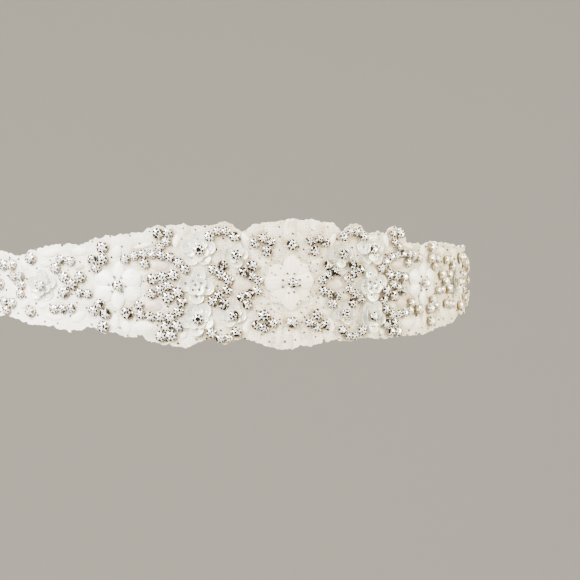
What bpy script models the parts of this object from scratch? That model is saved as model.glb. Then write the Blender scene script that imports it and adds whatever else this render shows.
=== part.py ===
"""Bridal sash, worn round a waist.

A satin ribbon belt closes at the centre back with two hooks and bars. A scalloped net applique lies
on its front, with padded leaves, sewn-on flowers and rhinestones in claw cups.

Every piece is laid out flat first: s runs along the belt from the centre front, z up from its middle
line, and out is the distance outside the net's outer face, all in millimetres. place() then wraps
that layout round the waist, an oval standing on the Z axis with its front towards -Y. The sides are
the wearer's: their left is +X, where s is positive.
"""

import math
from bisect import bisect_left
from collections import namedtuple

import bmesh
import bpy
from mathutils import Vector
from mathutils.geometry import delaunay_2d_cdt

COLLECTION = "bridal_sash"
MM = 0.001
SIDES = (("left", 1), ("right", -1))

# The waist, measured to the net's outer face.
WAIST_HALF_WIDTH = 128.0
WAIST_HALF_DEPTH = 93.0

# Cloth walls.
SEAM_GAP = 0.3
NET_THICKNESS = 1.2
PETAL_THICKNESS = 1.0
PETAL_RISE = 0.8
LEAF_RISE = 0.7
GORE_RISE = 0.8

# Ribbon.
RIBBON_WIDTH = 25.0
RIBBON_THICKNESS = 1.0
RIBBON_STEP = 6.0
OVERLAP = 30.0
LIFT_RAMP = 42.0

# Rhinestones: a claw cup tapers from its foot to the stone's flat top.
STONE_FOOT_RADIUS = 1.9
STONE_TOP_RADIUS = 1.6
STONE_HEIGHT = 2.4
STONE_SIDES = 8

# Hooks and bars are bent from wire that lies at three levels between the ribbon's two ends: 0 on the
# inner end, 2 under the outer end and 1 between them. along is counted from the centre back and up
# from the fastener's middle, and each table holds the wire's upper half.
WIRE = 0.7
LEVEL_STEP = WIRE + SEAM_GAP
FASTENER_HEIGHTS = (("upper", 6.2), ("lower", -6.2))
LOOP_STEPS = 7
Loop = namedtuple("Loop", "along up radius first_angle last_angle level")
Bend = namedtuple("Bend", "along up level")
HOOK_LOOP = Loop(6.0, 2.1, 1.2, -20.0, 260.0, 2.0)
HOOK_BENDS = (
    Bend(4.6, 0.8, 2.0),
    Bend(-2.3, 0.8, 2.0),
    Bend(-2.85, 0.8, 1.65),
    Bend(-3.0, 0.8, 1.0),
    Bend(-2.85, 0.8, 0.35),
    Bend(-2.3, 0.8, 0.0),
    Bend(1.0, 0.8, 0.0),
    Bend(1.5, 0.45, 0.0),
)
BAR_LOOP = Loop(-0.9, 3.9, 1.1, -70.0, 195.0, 0.0)
BAR_BENDS = (
    Bend(-2.0, 3.3, 0.0),
    Bend(-2.0, 2.9, 0.2),
    Bend(-2.0, 2.4, 0.9),
    Bend(-2.0, 1.9, 1.0),
)

# Fineness of the outlines.
OUTLINE_STEP = 3.6
LINING_STEP = 6.0
LINING_ROWS = (-8.0, 8.0)
POINTS_PER_PETAL = 7
LEAF_POINTS = 8
GORE_ROWS = (0.3, 0.6, 0.92)
CLEAR_OF_STONE = 0.45
CLEAR_OF_EDGE = 0.5

# The applique's cut edge as scallops: each runs from where the last one ended to end_s, where the
# edge is `reach` from the middle line, and its middle stands `crown` outside that straight run. The
# edge is trimmed round the beadwork by hand, so the two sides differ.
Scallop = namedtuple("Scallop", "name end_s reach crown")
TOP_START = 28.4
TOP_END = (
    Scallop("end lobe", 180.0, 9.5, 2.6),
    Scallop("tip", 202.0, 0.0, 3.6),
)
TOP_EDGE = {
    "left": (
        Scallop("centre lobe", 21.5, 27.0, 0.7),
        Scallop("lobe notch", 25.6, 24.2, 0.0),
        Scallop("spray foot", 27.2, 24.3, 0.0),
        Scallop("spray", 39.4, 23.4, 3.2),
        Scallop("flower lobe", 51.5, 22.8, 0.1),
        Scallop("column", 64.9, 21.4, 3.9),
        Scallop("column step", 66.2, 18.6, 0.0),
        Scallop("lace lobe", 80.5, 18.3, -0.2),
        Scallop("rim lobe", 92.0, 18.5, 0.5),
        Scallop("cross lobe", 112.0, 17.3, 0.3),
        Scallop("side lobe", 131.0, 17.2, 0.2),
        Scallop("notch lobe", 150.0, 13.4, 1.0),
        *TOP_END,
    ),
    "right": (
        Scallop("centre lobe", 18.0, 26.6, 0.2),
        Scallop("lobe notch", 23.0, 24.0, 0.0),
        Scallop("spray", 37.5, 25.4, 2.9),
        Scallop("flower lobe", 64.0, 25.0, 1.2),
        Scallop("column step", 66.5, 22.8, 0.0),
        Scallop("lace lobe", 82.0, 21.4, 0.3),
        Scallop("cluster lobe", 93.0, 17.8, 0.3),
        Scallop("cross lobe", 128.0, 11.9, 2.2),
        Scallop("notch lobe", 150.0, 13.4, 3.0),
        *TOP_END,
    ),
}
BOTTOM_START = 28.7
BOTTOM_END = (
    Scallop("end lobe", 158.0, 13.4, 1.6),
    Scallop("last lobe", 180.0, 9.5, 2.4),
    Scallop("tip", 202.0, 0.0, 3.6),
)
BOTTOM_EDGE = {
    "left": (
        Scallop("centre lobe", 22.5, 24.9, 0.6),
        Scallop("spray", 37.5, 24.4, 1.4),
        Scallop("flower lobe", 49.0, 24.4, 0.8),
        Scallop("pair lobe", 60.5, 24.2, 1.0),
        Scallop("lace lobe", 79.0, 24.0, 0.1),
        Scallop("cluster lobe", 88.0, 22.2, 0.1),
        Scallop("cross lobe", 106.0, 19.4, 0.2),
        Scallop("side lobe", 117.0, 15.6, 0.0),
        Scallop("notch lobe", 140.0, 15.0, 0.6),
        *BOTTOM_END,
    ),
    "right": (
        Scallop("centre lobe", 9.0, 28.2, 0.3),
        Scallop("lobe shoulder", 18.0, 24.9, 0.0),
        Scallop("lower side", 26.0, 24.4, 0.0),
        Scallop("spray", 36.5, 24.4, 1.7),
        Scallop("flower rise", 42.0, 25.0, -0.3),
        Scallop("flower lobe", 55.0, 25.9, 2.4),
        Scallop("pair lobe", 63.0, 25.2, 0.4),
        Scallop("pair step", 67.0, 22.5, 0.0),
        Scallop("lace lobe", 77.5, 21.4, 1.0),
        Scallop("cluster lobe", 85.5, 21.0, 0.2),
        Scallop("cluster step", 91.5, 18.5, -0.3),
        Scallop("cross lobe", 107.0, 18.0, 2.0),
        Scallop("notch lobe", 132.5, 13.6, 1.6),
        *BOTTOM_END,
    ),
}

# Strings of rhinestones on one half of the net; the other half mirrors them. A string of one stone
# stands at its start. bow is how far the middle of a string bends to the left of its run.
Strand = namedtuple("Strand", "name count start_s start_z end_s end_z bow")
STRANDS = (
    Strand("upper triplet", 3, 9.8, 19.0, 17.2, 18.6, 1.6),
    Strand("upper triplet foot", 1, 11.4, 14.9, 0.0, 0.0, 0.0),
    Strand("lower triplet", 3, 9.0, -17.0, 16.8, -17.8, -1.6),
    Strand("lower triplet head", 1, 12.9, -13.6, 0.0, 0.0, 0.0),
    Strand("inner chevron up", 3, 15.4, 1.8, 22.4, 5.6, 0.0),
    Strand("inner chevron head", 1, 18.5, 8.4, 0.0, 0.0, 0.0),
    Strand("inner chevron down", 3, 15.8, -2.8, 23.2, -5.6, 0.0),
    Strand("inner chevron foot", 1, 20.6, -8.9, 0.0, 0.0, 0.0),
    Strand("outer chevron up", 3, 29.0, 2.2, 36.0, 6.6, 0.0),
    Strand("outer chevron head", 1, 31.6, 8.7, 0.0, 0.0, 0.0),
    Strand("outer chevron down", 3, 29.6, -2.4, 36.4, -7.0, 0.4),
    Strand("outer chevron foot", 1, 31.2, -8.6, 0.0, 0.0, 0.0),
    Strand("upper edge spray", 4, 26.5, 21.2, 37.6, 21.4, 2.7),
    Strand("lower edge spray", 4, 25.6, -20.9, 36.7, -21.3, -2.75),
    Strand("upper column pair", 2, 55.6, 22.9, 60.2, 22.8, 0.0),
    Strand("upper column", 2, 56.4, 19.1, 59.3, 16.8, 0.0),
    Strand("upper arc rise", 3, 48.2, 7.0, 54.6, 12.2, 0.4),
    Strand("upper arc crest", 5, 58.6, 13.0, 74.3, 11.6, 1.2),
    Strand("upper arc drop", 1, 65.9, 9.4, 0.0, 0.0, 0.0),
    Strand("heart upper", 3, 53.2, 4.4, 62.6, 2.8, 0.0),
    Strand("heart lower", 3, 55.6, -0.4, 62.8, -3.8, 0.0),
    Strand("heart foot", 2, 51.5, -3.2, 55.8, -5.6, 0.0),
    Strand("lower arc rise", 2, 50.0, -7.6, 51.2, -11.6, 0.0),
    Strand("lower arc crest", 4, 54.8, -14.2, 67.4, -12.8, -0.5),
    Strand("lower arc drop", 1, 68.3, -8.9, 0.0, 0.0, 0.0),
    Strand("lower arc end", 1, 73.4, -12.4, 0.0, 0.0, 0.0),
    Strand("lower column pair", 2, 51.9, -18.2, 56.6, -18.2, 0.0),
    Strand("lower edge pair", 2, 54.2, -22.2, 58.8, -22.4, 0.0),
    Strand("upper rim stone", 1, 84.4, 16.6, 0.0, 0.0, 0.0),
    Strand("upper trio", 2, 84.2, 11.4, 89.0, 11.2, 0.0),
    Strand("upper trio foot", 1, 87.2, 7.4, 0.0, 0.0, 0.0),
    Strand("lower trio", 2, 83.2, -12.3, 88.6, -11.3, 0.0),
    Strand("lower trio head", 1, 85.7, -8.2, 0.0, 0.0, 0.0),
    Strand("lower rim stone", 1, 83.7, -18.3, 0.0, 0.0, 0.0),
    Strand("cross", 3, 94.2, 3.6, 102.0, -3.2, 0.0),
    Strand("cross arm up", 1, 101.6, 3.5, 0.0, 0.0, 0.0),
    Strand("cross arm down", 2, 94.7, -3.5, 90.9, -3.9, 0.0),
    Strand("side spray up", 2, 99.2, 10.6, 103.4, 11.2, 0.0),
    Strand("side spray drop", 1, 105.9, 7.4, 0.0, 0.0, 0.0),
    Strand("side spray down", 3, 98.6, -10.2, 106.6, -10.8, 0.0),
    Strand("rim stones up", 1, 117.9, 11.7, 0.0, 0.0, 0.0),
    Strand("rim stones down", 1, 117.9, -11.7, 0.0, 0.0, 0.0),
    Strand("notch hook", 3, 123.6, 3.6, 123.6, -4.0, -0.4),
    Strand("notch hook tip", 1, 127.6, 3.7, 0.0, 0.0, 0.0),
    Strand("notch pair up", 2, 128.4, 8.8, 133.2, 9.0, 0.0),
    Strand("notch pair down", 2, 128.2, -8.2, 132.5, -7.4, 0.0),
    Strand("notch foot", 1, 131.2, -11.3, 0.0, 0.0, 0.0),
    Strand("notch stone", 1, 135.4, 0.3, 0.0, 0.0, 0.0),
    Strand("end arc up", 8, 141.0, 6.2, 174.4, 5.6, 5.0),
    Strand("end arc down", 8, 141.0, -6.2, 174.4, -5.6, -5.0),
    Strand("end tip", 4, 177.6, 0.0, 193.2, 0.0, 0.0),
)
CENTRE_STONES = (
    Strand("upper centre stone", 1, 0.0, 17.7, 0.0, 0.0, 0.0),
    Strand("lower centre stone", 1, 0.4, -16.8, 0.0, 0.0, 0.0),
)

# Padded satin leaves in the net, from root to tip, on one half.
Leaf = namedtuple("Leaf", "name root_s root_z tip_s tip_z width")
LEAVES = (
    Leaf("upper lobe leaf", 19.8, 16.8, 22.4, 22.6, 3.0),
    Leaf("lower lobe leaf", 19.3, -15.4, 21.4, -21.6, 3.2),
    Leaf("chevron heart", 17.8, -0.3, 27.2, -0.3, 5.0),
    Leaf("upper flower leaf", 52.4, 16.2, 51.6, 22.2, 2.8),
    Leaf("lower flower leaf", 47.2, -20.8, 50.0, -23.4, 2.4),
    Leaf("arc heart", 54.8, 8.5, 63.2, 8.3, 4.2),
    Leaf("lower heart", 58.0, -9.4, 65.8, -9.2, 4.4),
    Leaf("upper column leaf", 62.8, 17.9, 70.4, 16.2, 2.0),
    Leaf("lower column leaf", 61.6, -18.2, 70.4, -18.4, 4.6),
    Leaf("lower lace leaf", 74.4, -15.8, 73.2, -21.2, 3.8),
    Leaf("upper lace bud", 77.6, 12.2, 77.5, 17.5, 3.4),
    Leaf("lower lace bud", 78.6, -12.8, 78.8, -19.6, 3.6),
    Leaf("cross heart", 92.4, 8.4, 97.4, 7.2, 2.6),
    Leaf("upper cross leaf", 91.6, 14.5, 98.2, 14.8, 3.6),
    Leaf("lower cross leaf", 92.2, -12.4, 98.4, -16.2, 4.0),
    Leaf("upper spray leaf", 104.4, 14.8, 112.6, 13.0, 3.2),
    Leaf("lower spray leaf", 103.0, -14.8, 111.0, -13.6, 3.2),
    Leaf("upper side leaf", 108.8, 8.8, 114.2, 9.4, 2.8),
    Leaf("lower side leaf", 110.0, -9.4, 115.0, -9.4, 2.6),
    Leaf("upper notch leaf", 119.6, 6.6, 124.0, 10.4, 2.8),
    Leaf("lower notch leaf", 119.6, -6.8, 124.0, -10.6, 2.8),
    Leaf("end leaf", 142.4, 0.0, 150.0, 0.0, 4.2),
)

# Creases that fan out over the centre lobe, from their inner end to the cut edge, in order along s.
# Between two of them the net swells into a gore.
Crease = namedtuple("Crease", "inner_s inner_z outer_s outer_z")
TOP_CREASES = (
    Crease(-19.0, 15.5, -21.5, 26.0),
    Crease(-12.4, 15.0, -13.2, 27.5),
    Crease(-3.8, 14.5, -3.7, 28.5),
    Crease(2.7, 14.5, 3.0, 28.5),
    Crease(9.0, 15.0, 9.7, 28.0),
    Crease(15.8, 15.5, 16.7, 27.0),
    Crease(20.0, 15.5, 22.0, 26.0),
)
BOTTOM_CREASES = (
    Crease(-17.0, -14.5, -22.0, -25.0),
    Crease(-9.5, -15.0, -15.0, -26.5),
    Crease(-5.8, -15.5, -9.2, -28.5),
    Crease(-2.8, -15.5, -4.5, -28.8),
    Crease(0.7, -15.5, 1.2, -28.8),
    Crease(4.0, -15.5, 6.2, -28.5),
    Crease(8.0, -15.0, 11.6, -27.5),
    Crease(13.0, -15.0, 17.4, -26.0),
    Crease(18.0, -14.5, 23.0, -25.0),
)

# Flowers sewn on the net on one half. Each petal points at an angle, 0 outwards along the belt and
# 90 up; taper narrows it. taper 2 is a round cup and 6 a long petal.
Flower = namedtuple("Flower", "name s z angles length taper")
LACE_ANGLES = (24, 90, 156, 204, 270, 336)
FLOWERS = (
    Flower("upper_bud", 25.8, 13.2, (10, 95, 175, 262), 5.8, 2.0),
    Flower("lower_bud", 26.9, -13.5, (8, 98, 180, 304), 5.6, 2.0),
    Flower("upper_sequin_flower", 42.6, 15.5, (18, 90, 166, 234, 306), 7.2, 2.0),
    Flower("middle_sequin_flower", 43.3, -0.4, (12, 102, 190, 268), 7.9, 2.0),
    Flower("lower_sequin_flower", 42.9, -15.0, (345, 273, 201, 129, 57), 7.3, 2.0),
    Flower("lace_flower", 77.6, -0.2, LACE_ANGLES, 10.6, 3.6),
    Flower("side_flower", 112.6, -0.3, (18, 90, 162, 234, 306), 7.2, 2.6),
    Flower("end_flower", 159.6, 0.0, LACE_ANGLES, 8.2, 3.6),
)
CENTRE_FLOWER = Flower("centre_flower", 0.0, 0.6, tuple(range(0, 360, 45)), 11.8, 6.0)
NO_STONE = ("middle_sequin_flower",)

# Colour, roughness and metallic value of each finish.
Finish = namedtuple("Finish", "colour roughness metallic")
SATIN = Finish((0.86, 0.82, 0.74, 1.0), 0.35, 0.0)
NET = Finish((0.84, 0.80, 0.72, 1.0), 0.7, 0.0)
ORGANZA = Finish((0.92, 0.90, 0.86, 1.0), 0.45, 0.0)
NICKEL = Finish((0.72, 0.72, 0.70, 1.0), 0.25, 1.0)


def waist_lengths(steps_per_turn=2880):
    """The oval's arc length from the centre front against its angle, past the centre back."""
    angles = [math.tau * i / steps_per_turn for i in range(steps_per_turn // 2 + 240)]
    lengths = [0.0]
    for before, after in zip(angles, angles[1:]):
        across = WAIST_HALF_WIDTH * (math.sin(after) - math.sin(before))
        along = WAIST_HALF_DEPTH * (math.cos(after) - math.cos(before))
        lengths.append(lengths[-1] + math.hypot(across, along))
    return angles, lengths


# The ribbon's outer face, just inside the net.
RIBBON_FACE = -NET_THICKNESS - SEAM_GAP
ANGLES, LENGTHS = waist_lengths()
HALF_GIRTH = LENGTHS[bisect_left(ANGLES, math.pi - 1e-9)]


def waist_angle(s):
    """The oval's angle at arc length s, negative on the wearer's right."""
    length = abs(s)
    after = min(max(bisect_left(LENGTHS, length), 1), len(LENGTHS) - 1)
    share = (length - LENGTHS[after - 1]) / (LENGTHS[after] - LENGTHS[after - 1])
    angle = ANGLES[after - 1] + share * (ANGLES[after] - ANGLES[after - 1])
    return math.copysign(angle, s)


def place(s, z, out):
    """The point in metres of a layout point, `out` outside the net's outer face."""
    angle = waist_angle(s)
    x = WAIST_HALF_WIDTH * math.sin(angle)
    y = -WAIST_HALF_DEPTH * math.cos(angle)
    normal = Vector((x / WAIST_HALF_WIDTH**2, y / WAIST_HALF_DEPTH**2, 0.0)).normalized()
    return MM * (Vector((x, y, z)) + out * normal)


def add_object(name, data, finish):
    """Put a mesh or a curve in the sash's collection with a material of its own."""
    thing = bpy.data.objects.new(name, data)
    bpy.data.collections[COLLECTION].objects.link(thing)
    material = bpy.data.materials.new(name + "_finish")
    material.use_nodes = True
    shader = material.node_tree.nodes["Principled BSDF"]
    shader.inputs["Base Color"].default_value = finish.colour
    shader.inputs["Roughness"].default_value = finish.roughness
    shader.inputs["Metallic"].default_value = finish.metallic
    material.diffuse_color = finish.colour
    data.materials.append(material)
    return thing


def scalloped_edge(start, scallops, above):
    """One half of a cut edge from s = 0 outwards, as (s, z) points."""
    points = [(0.0, above * start)]
    from_s = 0.0
    from_reach = start
    for scallop in scallops:
        run = scallop.end_s - from_s
        steps = max(2, round(run / OUTLINE_STEP))
        for i in range(1, steps + 1):
            share = i / steps
            straight = from_reach + share * (scallop.reach - from_reach)
            bulge = scallop.crown * 4.0 * share * (1.0 - share)
            points.append((from_s + share * run, above * (straight + bulge)))
        from_s = scallop.end_s
        from_reach = scallop.reach
    return points


def net_outline():
    """The applique's whole cut edge, anticlockwise."""
    left_top = scalloped_edge(TOP_START, TOP_EDGE["left"], 1)
    left_bottom = scalloped_edge(BOTTOM_START, BOTTOM_EDGE["left"], -1)
    right_top = [(-s, z) for s, z in scalloped_edge(TOP_START, TOP_EDGE["right"], 1)]
    right_bottom = [(-s, z) for s, z in scalloped_edge(BOTTOM_START, BOTTOM_EDGE["right"], -1)]
    return left_bottom[:-1] + left_top[::-1] + right_top[1:-1] + right_bottom[:0:-1]


def strand_points(strand, side=1):
    """Where a strand's stones stand, bowed about the middle of its run."""
    run_s = strand.end_s - strand.start_s
    run_z = strand.end_z - strand.start_z
    length = math.hypot(run_s, run_z)
    points = []
    for i in range(strand.count):
        share = i / max(1, strand.count - 1)
        bow = strand.bow * 4.0 * share * (1.0 - share)
        s = strand.start_s + share * run_s - bow * run_z / length
        z = strand.start_z + share * run_z + bow * run_s / length
        points.append((side * s, z))
    return points


def net_stones():
    """Every stone that stands on the net itself."""
    stones = []
    for strand in CENTRE_STONES:
        stones += strand_points(strand)
    for _, side in SIDES:
        for strand in STRANDS:
            stones += strand_points(strand, side)
    return stones


def net_leaves():
    """Every leaf, on both halves of the net."""
    leaves = []
    for _, side in SIDES:
        for leaf in LEAVES:
            leaves.append(leaf._replace(root_s=side * leaf.root_s, tip_s=side * leaf.tip_s))
    return leaves


def stone_rings(s, z):
    """The corners of a stone's foot and of its flat top."""
    points = []
    for radius in (STONE_FOOT_RADIUS, STONE_TOP_RADIUS):
        for i in range(STONE_SIDES):
            angle = math.tau * (i + 0.5) / STONE_SIDES
            points.append((s + radius * math.cos(angle), z + radius * math.sin(angle)))
    return points


def stone_height(s, z, stone):
    """How high a stone stands at a point: all of its height on its top, none outside its foot."""
    away = math.hypot(s - stone[0], z - stone[1])
    slope = (STONE_FOOT_RADIUS - away) / (STONE_FOOT_RADIUS - STONE_TOP_RADIUS)
    return STONE_HEIGHT * min(1.0, max(0.0, slope + 1e-6))


def leaf_place(s, z, leaf):
    """Where a point is in a leaf: along it and across it, each from -1 to 1 at its edge."""
    run_s = leaf.tip_s - leaf.root_s
    run_z = leaf.tip_z - leaf.root_z
    length = math.hypot(run_s, run_z)
    away_s = s - 0.5 * (leaf.root_s + leaf.tip_s)
    away_z = z - 0.5 * (leaf.root_z + leaf.tip_z)
    along = 2.0 * (away_s * run_s + away_z * run_z) / length**2
    across = 2.0 * (away_z * run_s - away_s * run_z) / (length * leaf.width)
    return along, across


def leaf_rings(leaf):
    """Points round a leaf's edge and round the flat of its padding."""
    run_s = leaf.tip_s - leaf.root_s
    run_z = leaf.tip_z - leaf.root_z
    length = math.hypot(run_s, run_z)
    points = []
    for share, count in ((1.0, LEAF_POINTS), (0.55, LEAF_POINTS - 2)):
        for i in range(count):
            angle = math.tau * i / count
            along = 0.5 * share * math.cos(angle)
            across = 0.5 * share * leaf.width * math.sin(angle) / length
            s = 0.5 * (leaf.root_s + leaf.tip_s) + along * run_s - across * run_z
            z = 0.5 * (leaf.root_z + leaf.tip_z) + along * run_z + across * run_s
            points.append((s, z))
    return points


def leaf_height(s, z, leaf):
    """A leaf's padding swells from its edge to a flat middle."""
    along, across = leaf_place(s, z, leaf)
    return LEAF_RISE * min(1.0, max(0.0, (1.0 - math.hypot(along, across)) / 0.45))


def crease_point(crease, share):
    """The point a share of the way along a crease, 0 at its inner end."""
    s = crease.inner_s + share * (crease.outer_s - crease.inner_s)
    return s, crease.inner_z + share * (crease.outer_z - crease.inner_z)


def gore_points():
    """Points along every crease and along the crest of every gore."""
    points = []
    for creases in (TOP_CREASES, BOTTOM_CREASES):
        for share in GORE_ROWS:
            row = [crease_point(crease, share) for crease in creases]
            points += row
            for (low_s, low_z), (high_s, high_z) in zip(row, row[1:]):
                points.append((0.5 * (low_s + high_s), 0.5 * (low_z + high_z)))
    return points


def gore_height(s, z):
    """How far a gore swells at a point: nothing in its creases, most between them at the edge."""
    for creases in (TOP_CREASES, BOTTOM_CREASES):
        for low, high in zip(creases, creases[1:]):
            share = (z - low.inner_z) / (low.outer_z - low.inner_z)
            low_s = crease_point(low, share)[0]
            high_s = crease_point(high, share)[0]
            if share > 0.0 and low_s < s < high_s:
                across = (s - low_s) / (high_s - low_s)
                return GORE_RISE * min(1.0, 2.0 * share) * 4.0 * across * (1.0 - across)
    return 0.0


def flower_reach(flower, side, angle):
    """How far a flower reaches in one direction: the longest of its petals there."""
    reach = 0.0
    for petal in flower.angles:
        off = angle - math.radians(petal if side > 0 else 180.0 - petal)
        if math.cos(off) > 0.0:
            reach = max(reach, flower.length * math.cos(off) ** flower.taper)
    return max(reach, 0.28 * flower.length)


def flower_rings(flower, side):
    """A flower's outline and the crest of its petals, round its own centre."""
    count = POINTS_PER_PETAL * len(flower.angles)
    outline = []
    crest = []
    for i in range(count):
        angle = math.tau * i / count
        reach = flower_reach(flower, side, angle)
        outline.append((reach * math.cos(angle), reach * math.sin(angle)))
        crest.append((0.6 * reach * math.cos(angle), 0.6 * reach * math.sin(angle)))
    return outline, crest[::2]


def polygon_distance(s, z, polygon):
    """Distance from a point to a closed outline, negative outside it."""
    nearest = math.inf
    inside = False
    for (s0, z0), (s1, z1) in zip(polygon, polygon[1:] + polygon[:1]):
        run_s = s1 - s0
        run_z = z1 - z0
        share = ((s - s0) * run_s + (z - z0) * run_z) / (run_s**2 + run_z**2)
        share = min(1.0, max(0.0, share))
        nearest = min(nearest, math.hypot(s - s0 - share * run_s, z - z0 - share * run_z))
        if (z0 > z) != (z1 > z) and s < s0 + (z - z0) * run_s / run_z:
            inside = not inside
    return nearest if inside else -nearest


def triangulate(outline, points):
    """Triangles over an outline and the points inside it, keeping the outline's order first."""
    count = len(outline)
    edges = [(i, (i + 1) % count) for i in range(count)]
    flat = [Vector(point) for point in outline + points]
    verts, _, faces, origins, _, _ = delaunay_2d_cdt(flat, edges, [], 1, 1e-5)
    order = {}
    for new, old in enumerate(origins):
        for index in old:
            order[new] = index
    return [tuple(order[i] for i in face) for face in faces]


def add_panel(name, finish, outline, relief_points, lining_points, lining_out, outer_out):
    """A cloth wall on the waist: a relief on its outer face over a plain inside.

    The two faces are triangulated apart, because the inside needs far fewer points, and meet in a
    cut edge along the outline.
    """
    mesh = bmesh.new()
    count = len(outline)
    outer_layout = outline + relief_points
    inner_layout = outline + lining_points
    outer = [mesh.verts.new(place(s, z, outer_out(s, z))) for s, z in outer_layout]
    inner = [mesh.verts.new(place(s, z, lining_out)) for s, z in inner_layout]
    for a, b, c in triangulate(outline, relief_points):
        mesh.faces.new((outer[a], outer[b], outer[c]))
    for a, b, c in triangulate(outline, lining_points):
        mesh.faces.new((inner[c], inner[b], inner[a]))
    for i in range(count):
        after = (i + 1) % count
        mesh.faces.new((outer[after], outer[i], inner[i], inner[after]))
    loose = [vert for vert in mesh.verts if not vert.link_faces]
    bmesh.ops.delete(mesh, geom=loose, context="VERTS")
    bmesh.ops.recalc_face_normals(mesh, faces=mesh.faces)
    data = bpy.data.meshes.new(name)
    mesh.to_mesh(data)
    mesh.free()
    return add_object(name, data, finish)


def add_net():
    """The scalloped net with its gores, its padded leaves and the stones that stand on it."""
    outline = net_outline()
    stones = net_stones()
    leaves = net_leaves()
    points = []
    for stone in stones:
        points += stone_rings(*stone)
    clear_radius = STONE_FOOT_RADIUS + CLEAR_OF_STONE
    soft_points = gore_points()
    for leaf in leaves:
        soft_points += leaf_rings(leaf)
    for point in soft_points:
        if all(math.dist(point, stone) > clear_radius for stone in stones):
            if polygon_distance(*point, outline) > CLEAR_OF_EDGE:
                points.append(point)

    def outer_out(s, z):
        heights = [stone_height(s, z, stone) for stone in stones]
        heights += [leaf_height(s, z, leaf) for leaf in leaves]
        return max(gore_height(s, z), *heights)

    lining = []
    tip = TOP_END[-1].end_s
    columns = int(2.0 * tip / LINING_STEP)
    for i in range(columns + 1):
        s = -0.5 * columns * LINING_STEP + i * LINING_STEP
        for z in LINING_ROWS:
            if polygon_distance(s, z, outline) > 2.0:
                lining.append((s, z))
    add_panel("net_applique", NET, outline, points, lining, -NET_THICKNESS, outer_out)


def add_flower(flower, side, name):
    """A flower sewn on the net: petals that swell towards their middles, round a stone."""
    centre_s = side * flower.s
    has_stone = flower.name not in NO_STONE
    outline, points = flower_rings(flower, side)
    if has_stone:
        clear_radius = STONE_FOOT_RADIUS + CLEAR_OF_STONE
        points = [point for point in points if math.hypot(*point) > clear_radius]
        points += stone_rings(0.0, 0.0)
    outline = [(s + centre_s, z + flower.z) for s, z in outline]
    points = [(s + centre_s, z + flower.z) for s, z in points]

    def outer_out(s, z):
        away = math.hypot(s - centre_s, z - flower.z)
        reach = flower_reach(flower, side, math.atan2(z - flower.z, s - centre_s))
        height = PETAL_RISE * min(1.0, max(0.0, (1.0 - away / reach) / 0.4))
        if has_stone:
            height = max(height, stone_height(s, z, (centre_s, flower.z)))
        return SEAM_GAP + PETAL_THICKNESS + height

    middle = [(centre_s, flower.z)]
    add_panel(name, ORGANZA, outline, points, middle, SEAM_GAP, outer_out)


def ribbon_lift(s):
    """How far the ribbon's outer end stands off the inner end it is hooked to."""
    into_ramp = (-s - (HALF_GIRTH - 0.5 * OVERLAP - LIFT_RAMP)) / LIFT_RAMP
    share = min(1.0, max(0.0, into_ramp))
    room_for_wires = 3.0 * LEVEL_STEP + SEAM_GAP
    return (RIBBON_THICKNESS + room_for_wires) * share * share * (3.0 - 2.0 * share)


def add_ribbon():
    """The satin belt: an open strip round the waist and past itself, given its thickness."""
    end = HALF_GIRTH + 0.5 * OVERLAP
    steps = round(2.0 * end / RIBBON_STEP)
    low_z = -0.5 * RIBBON_WIDTH
    mesh = bmesh.new()
    rows = []
    for i in range(steps + 1):
        s = -end + 2.0 * end * i / steps
        out = RIBBON_FACE + ribbon_lift(s)
        rows.append((mesh.verts.new(place(s, low_z, out)), mesh.verts.new(place(s, -low_z, out))))
    for (low, high), (next_low, next_high) in zip(rows, rows[1:]):
        mesh.faces.new((low, next_low, next_high, high))
    data = bpy.data.meshes.new("ribbon")
    mesh.to_mesh(data)
    mesh.free()
    ribbon = add_object("ribbon", data, SATIN)
    wall = ribbon.modifiers.new("wall", "SOLIDIFY")
    wall.thickness = RIBBON_THICKNESS * MM
    wall.offset = -1.0


def wire_half(loop, bends):
    """The upper half of a wire: the ring that is sewn down, then its bends."""
    path = []
    for i in range(LOOP_STEPS + 1):
        share = i / LOOP_STEPS
        angle = math.radians(loop.first_angle + share * (loop.last_angle - loop.first_angle))
        along = loop.along + loop.radius * math.cos(angle)
        path.append(Bend(along, loop.up + loop.radius * math.sin(angle), loop.level))
    return path + list(bends)


def add_wire(name, loop, bends, height):
    """A hook or bar: one bent wire, the same above and below its middle."""
    upper_half = wire_half(loop, bends)
    lower_half = [bend._replace(up=-bend.up) for bend in reversed(upper_half)]
    path = upper_half + lower_half
    curve = bpy.data.curves.new(name, "CURVE")
    curve.dimensions = "3D"
    curve.bevel_depth = 0.5 * WIRE * MM
    curve.bevel_resolution = 1
    curve.use_fill_caps = True
    spline = curve.splines.new("POLY")
    spline.points.add(len(path) - 1)
    lowest = RIBBON_FACE + SEAM_GAP + 0.5 * WIRE
    for point, bend in zip(spline.points, path):
        out = lowest + bend.level * LEVEL_STEP
        point.co = (*place(HALF_GIRTH + bend.along, height + bend.up, out), 1.0)
    add_object(name, curve, NICKEL)


def add_hooks_and_bars():
    """Two hooks on the ribbon's outer end, each round a bar on its inner end."""
    for label, height in FASTENER_HEIGHTS:
        add_wire("hook_" + label, HOOK_LOOP, HOOK_BENDS, height)
        add_wire("bar_" + label, BAR_LOOP, BAR_BENDS, height)


def main():
    for thing in list(bpy.data.objects):
        bpy.data.objects.remove(thing, do_unlink=True)
    collection = bpy.data.collections.new(COLLECTION)
    bpy.context.scene.collection.children.link(collection)
    add_ribbon()
    add_net()
    add_flower(CENTRE_FLOWER, 1, CENTRE_FLOWER.name)
    for label, side in SIDES:
        for flower in FLOWERS:
            add_flower(flower, side, flower.name + "_" + label)
    add_hooks_and_bars()


main()
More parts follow.
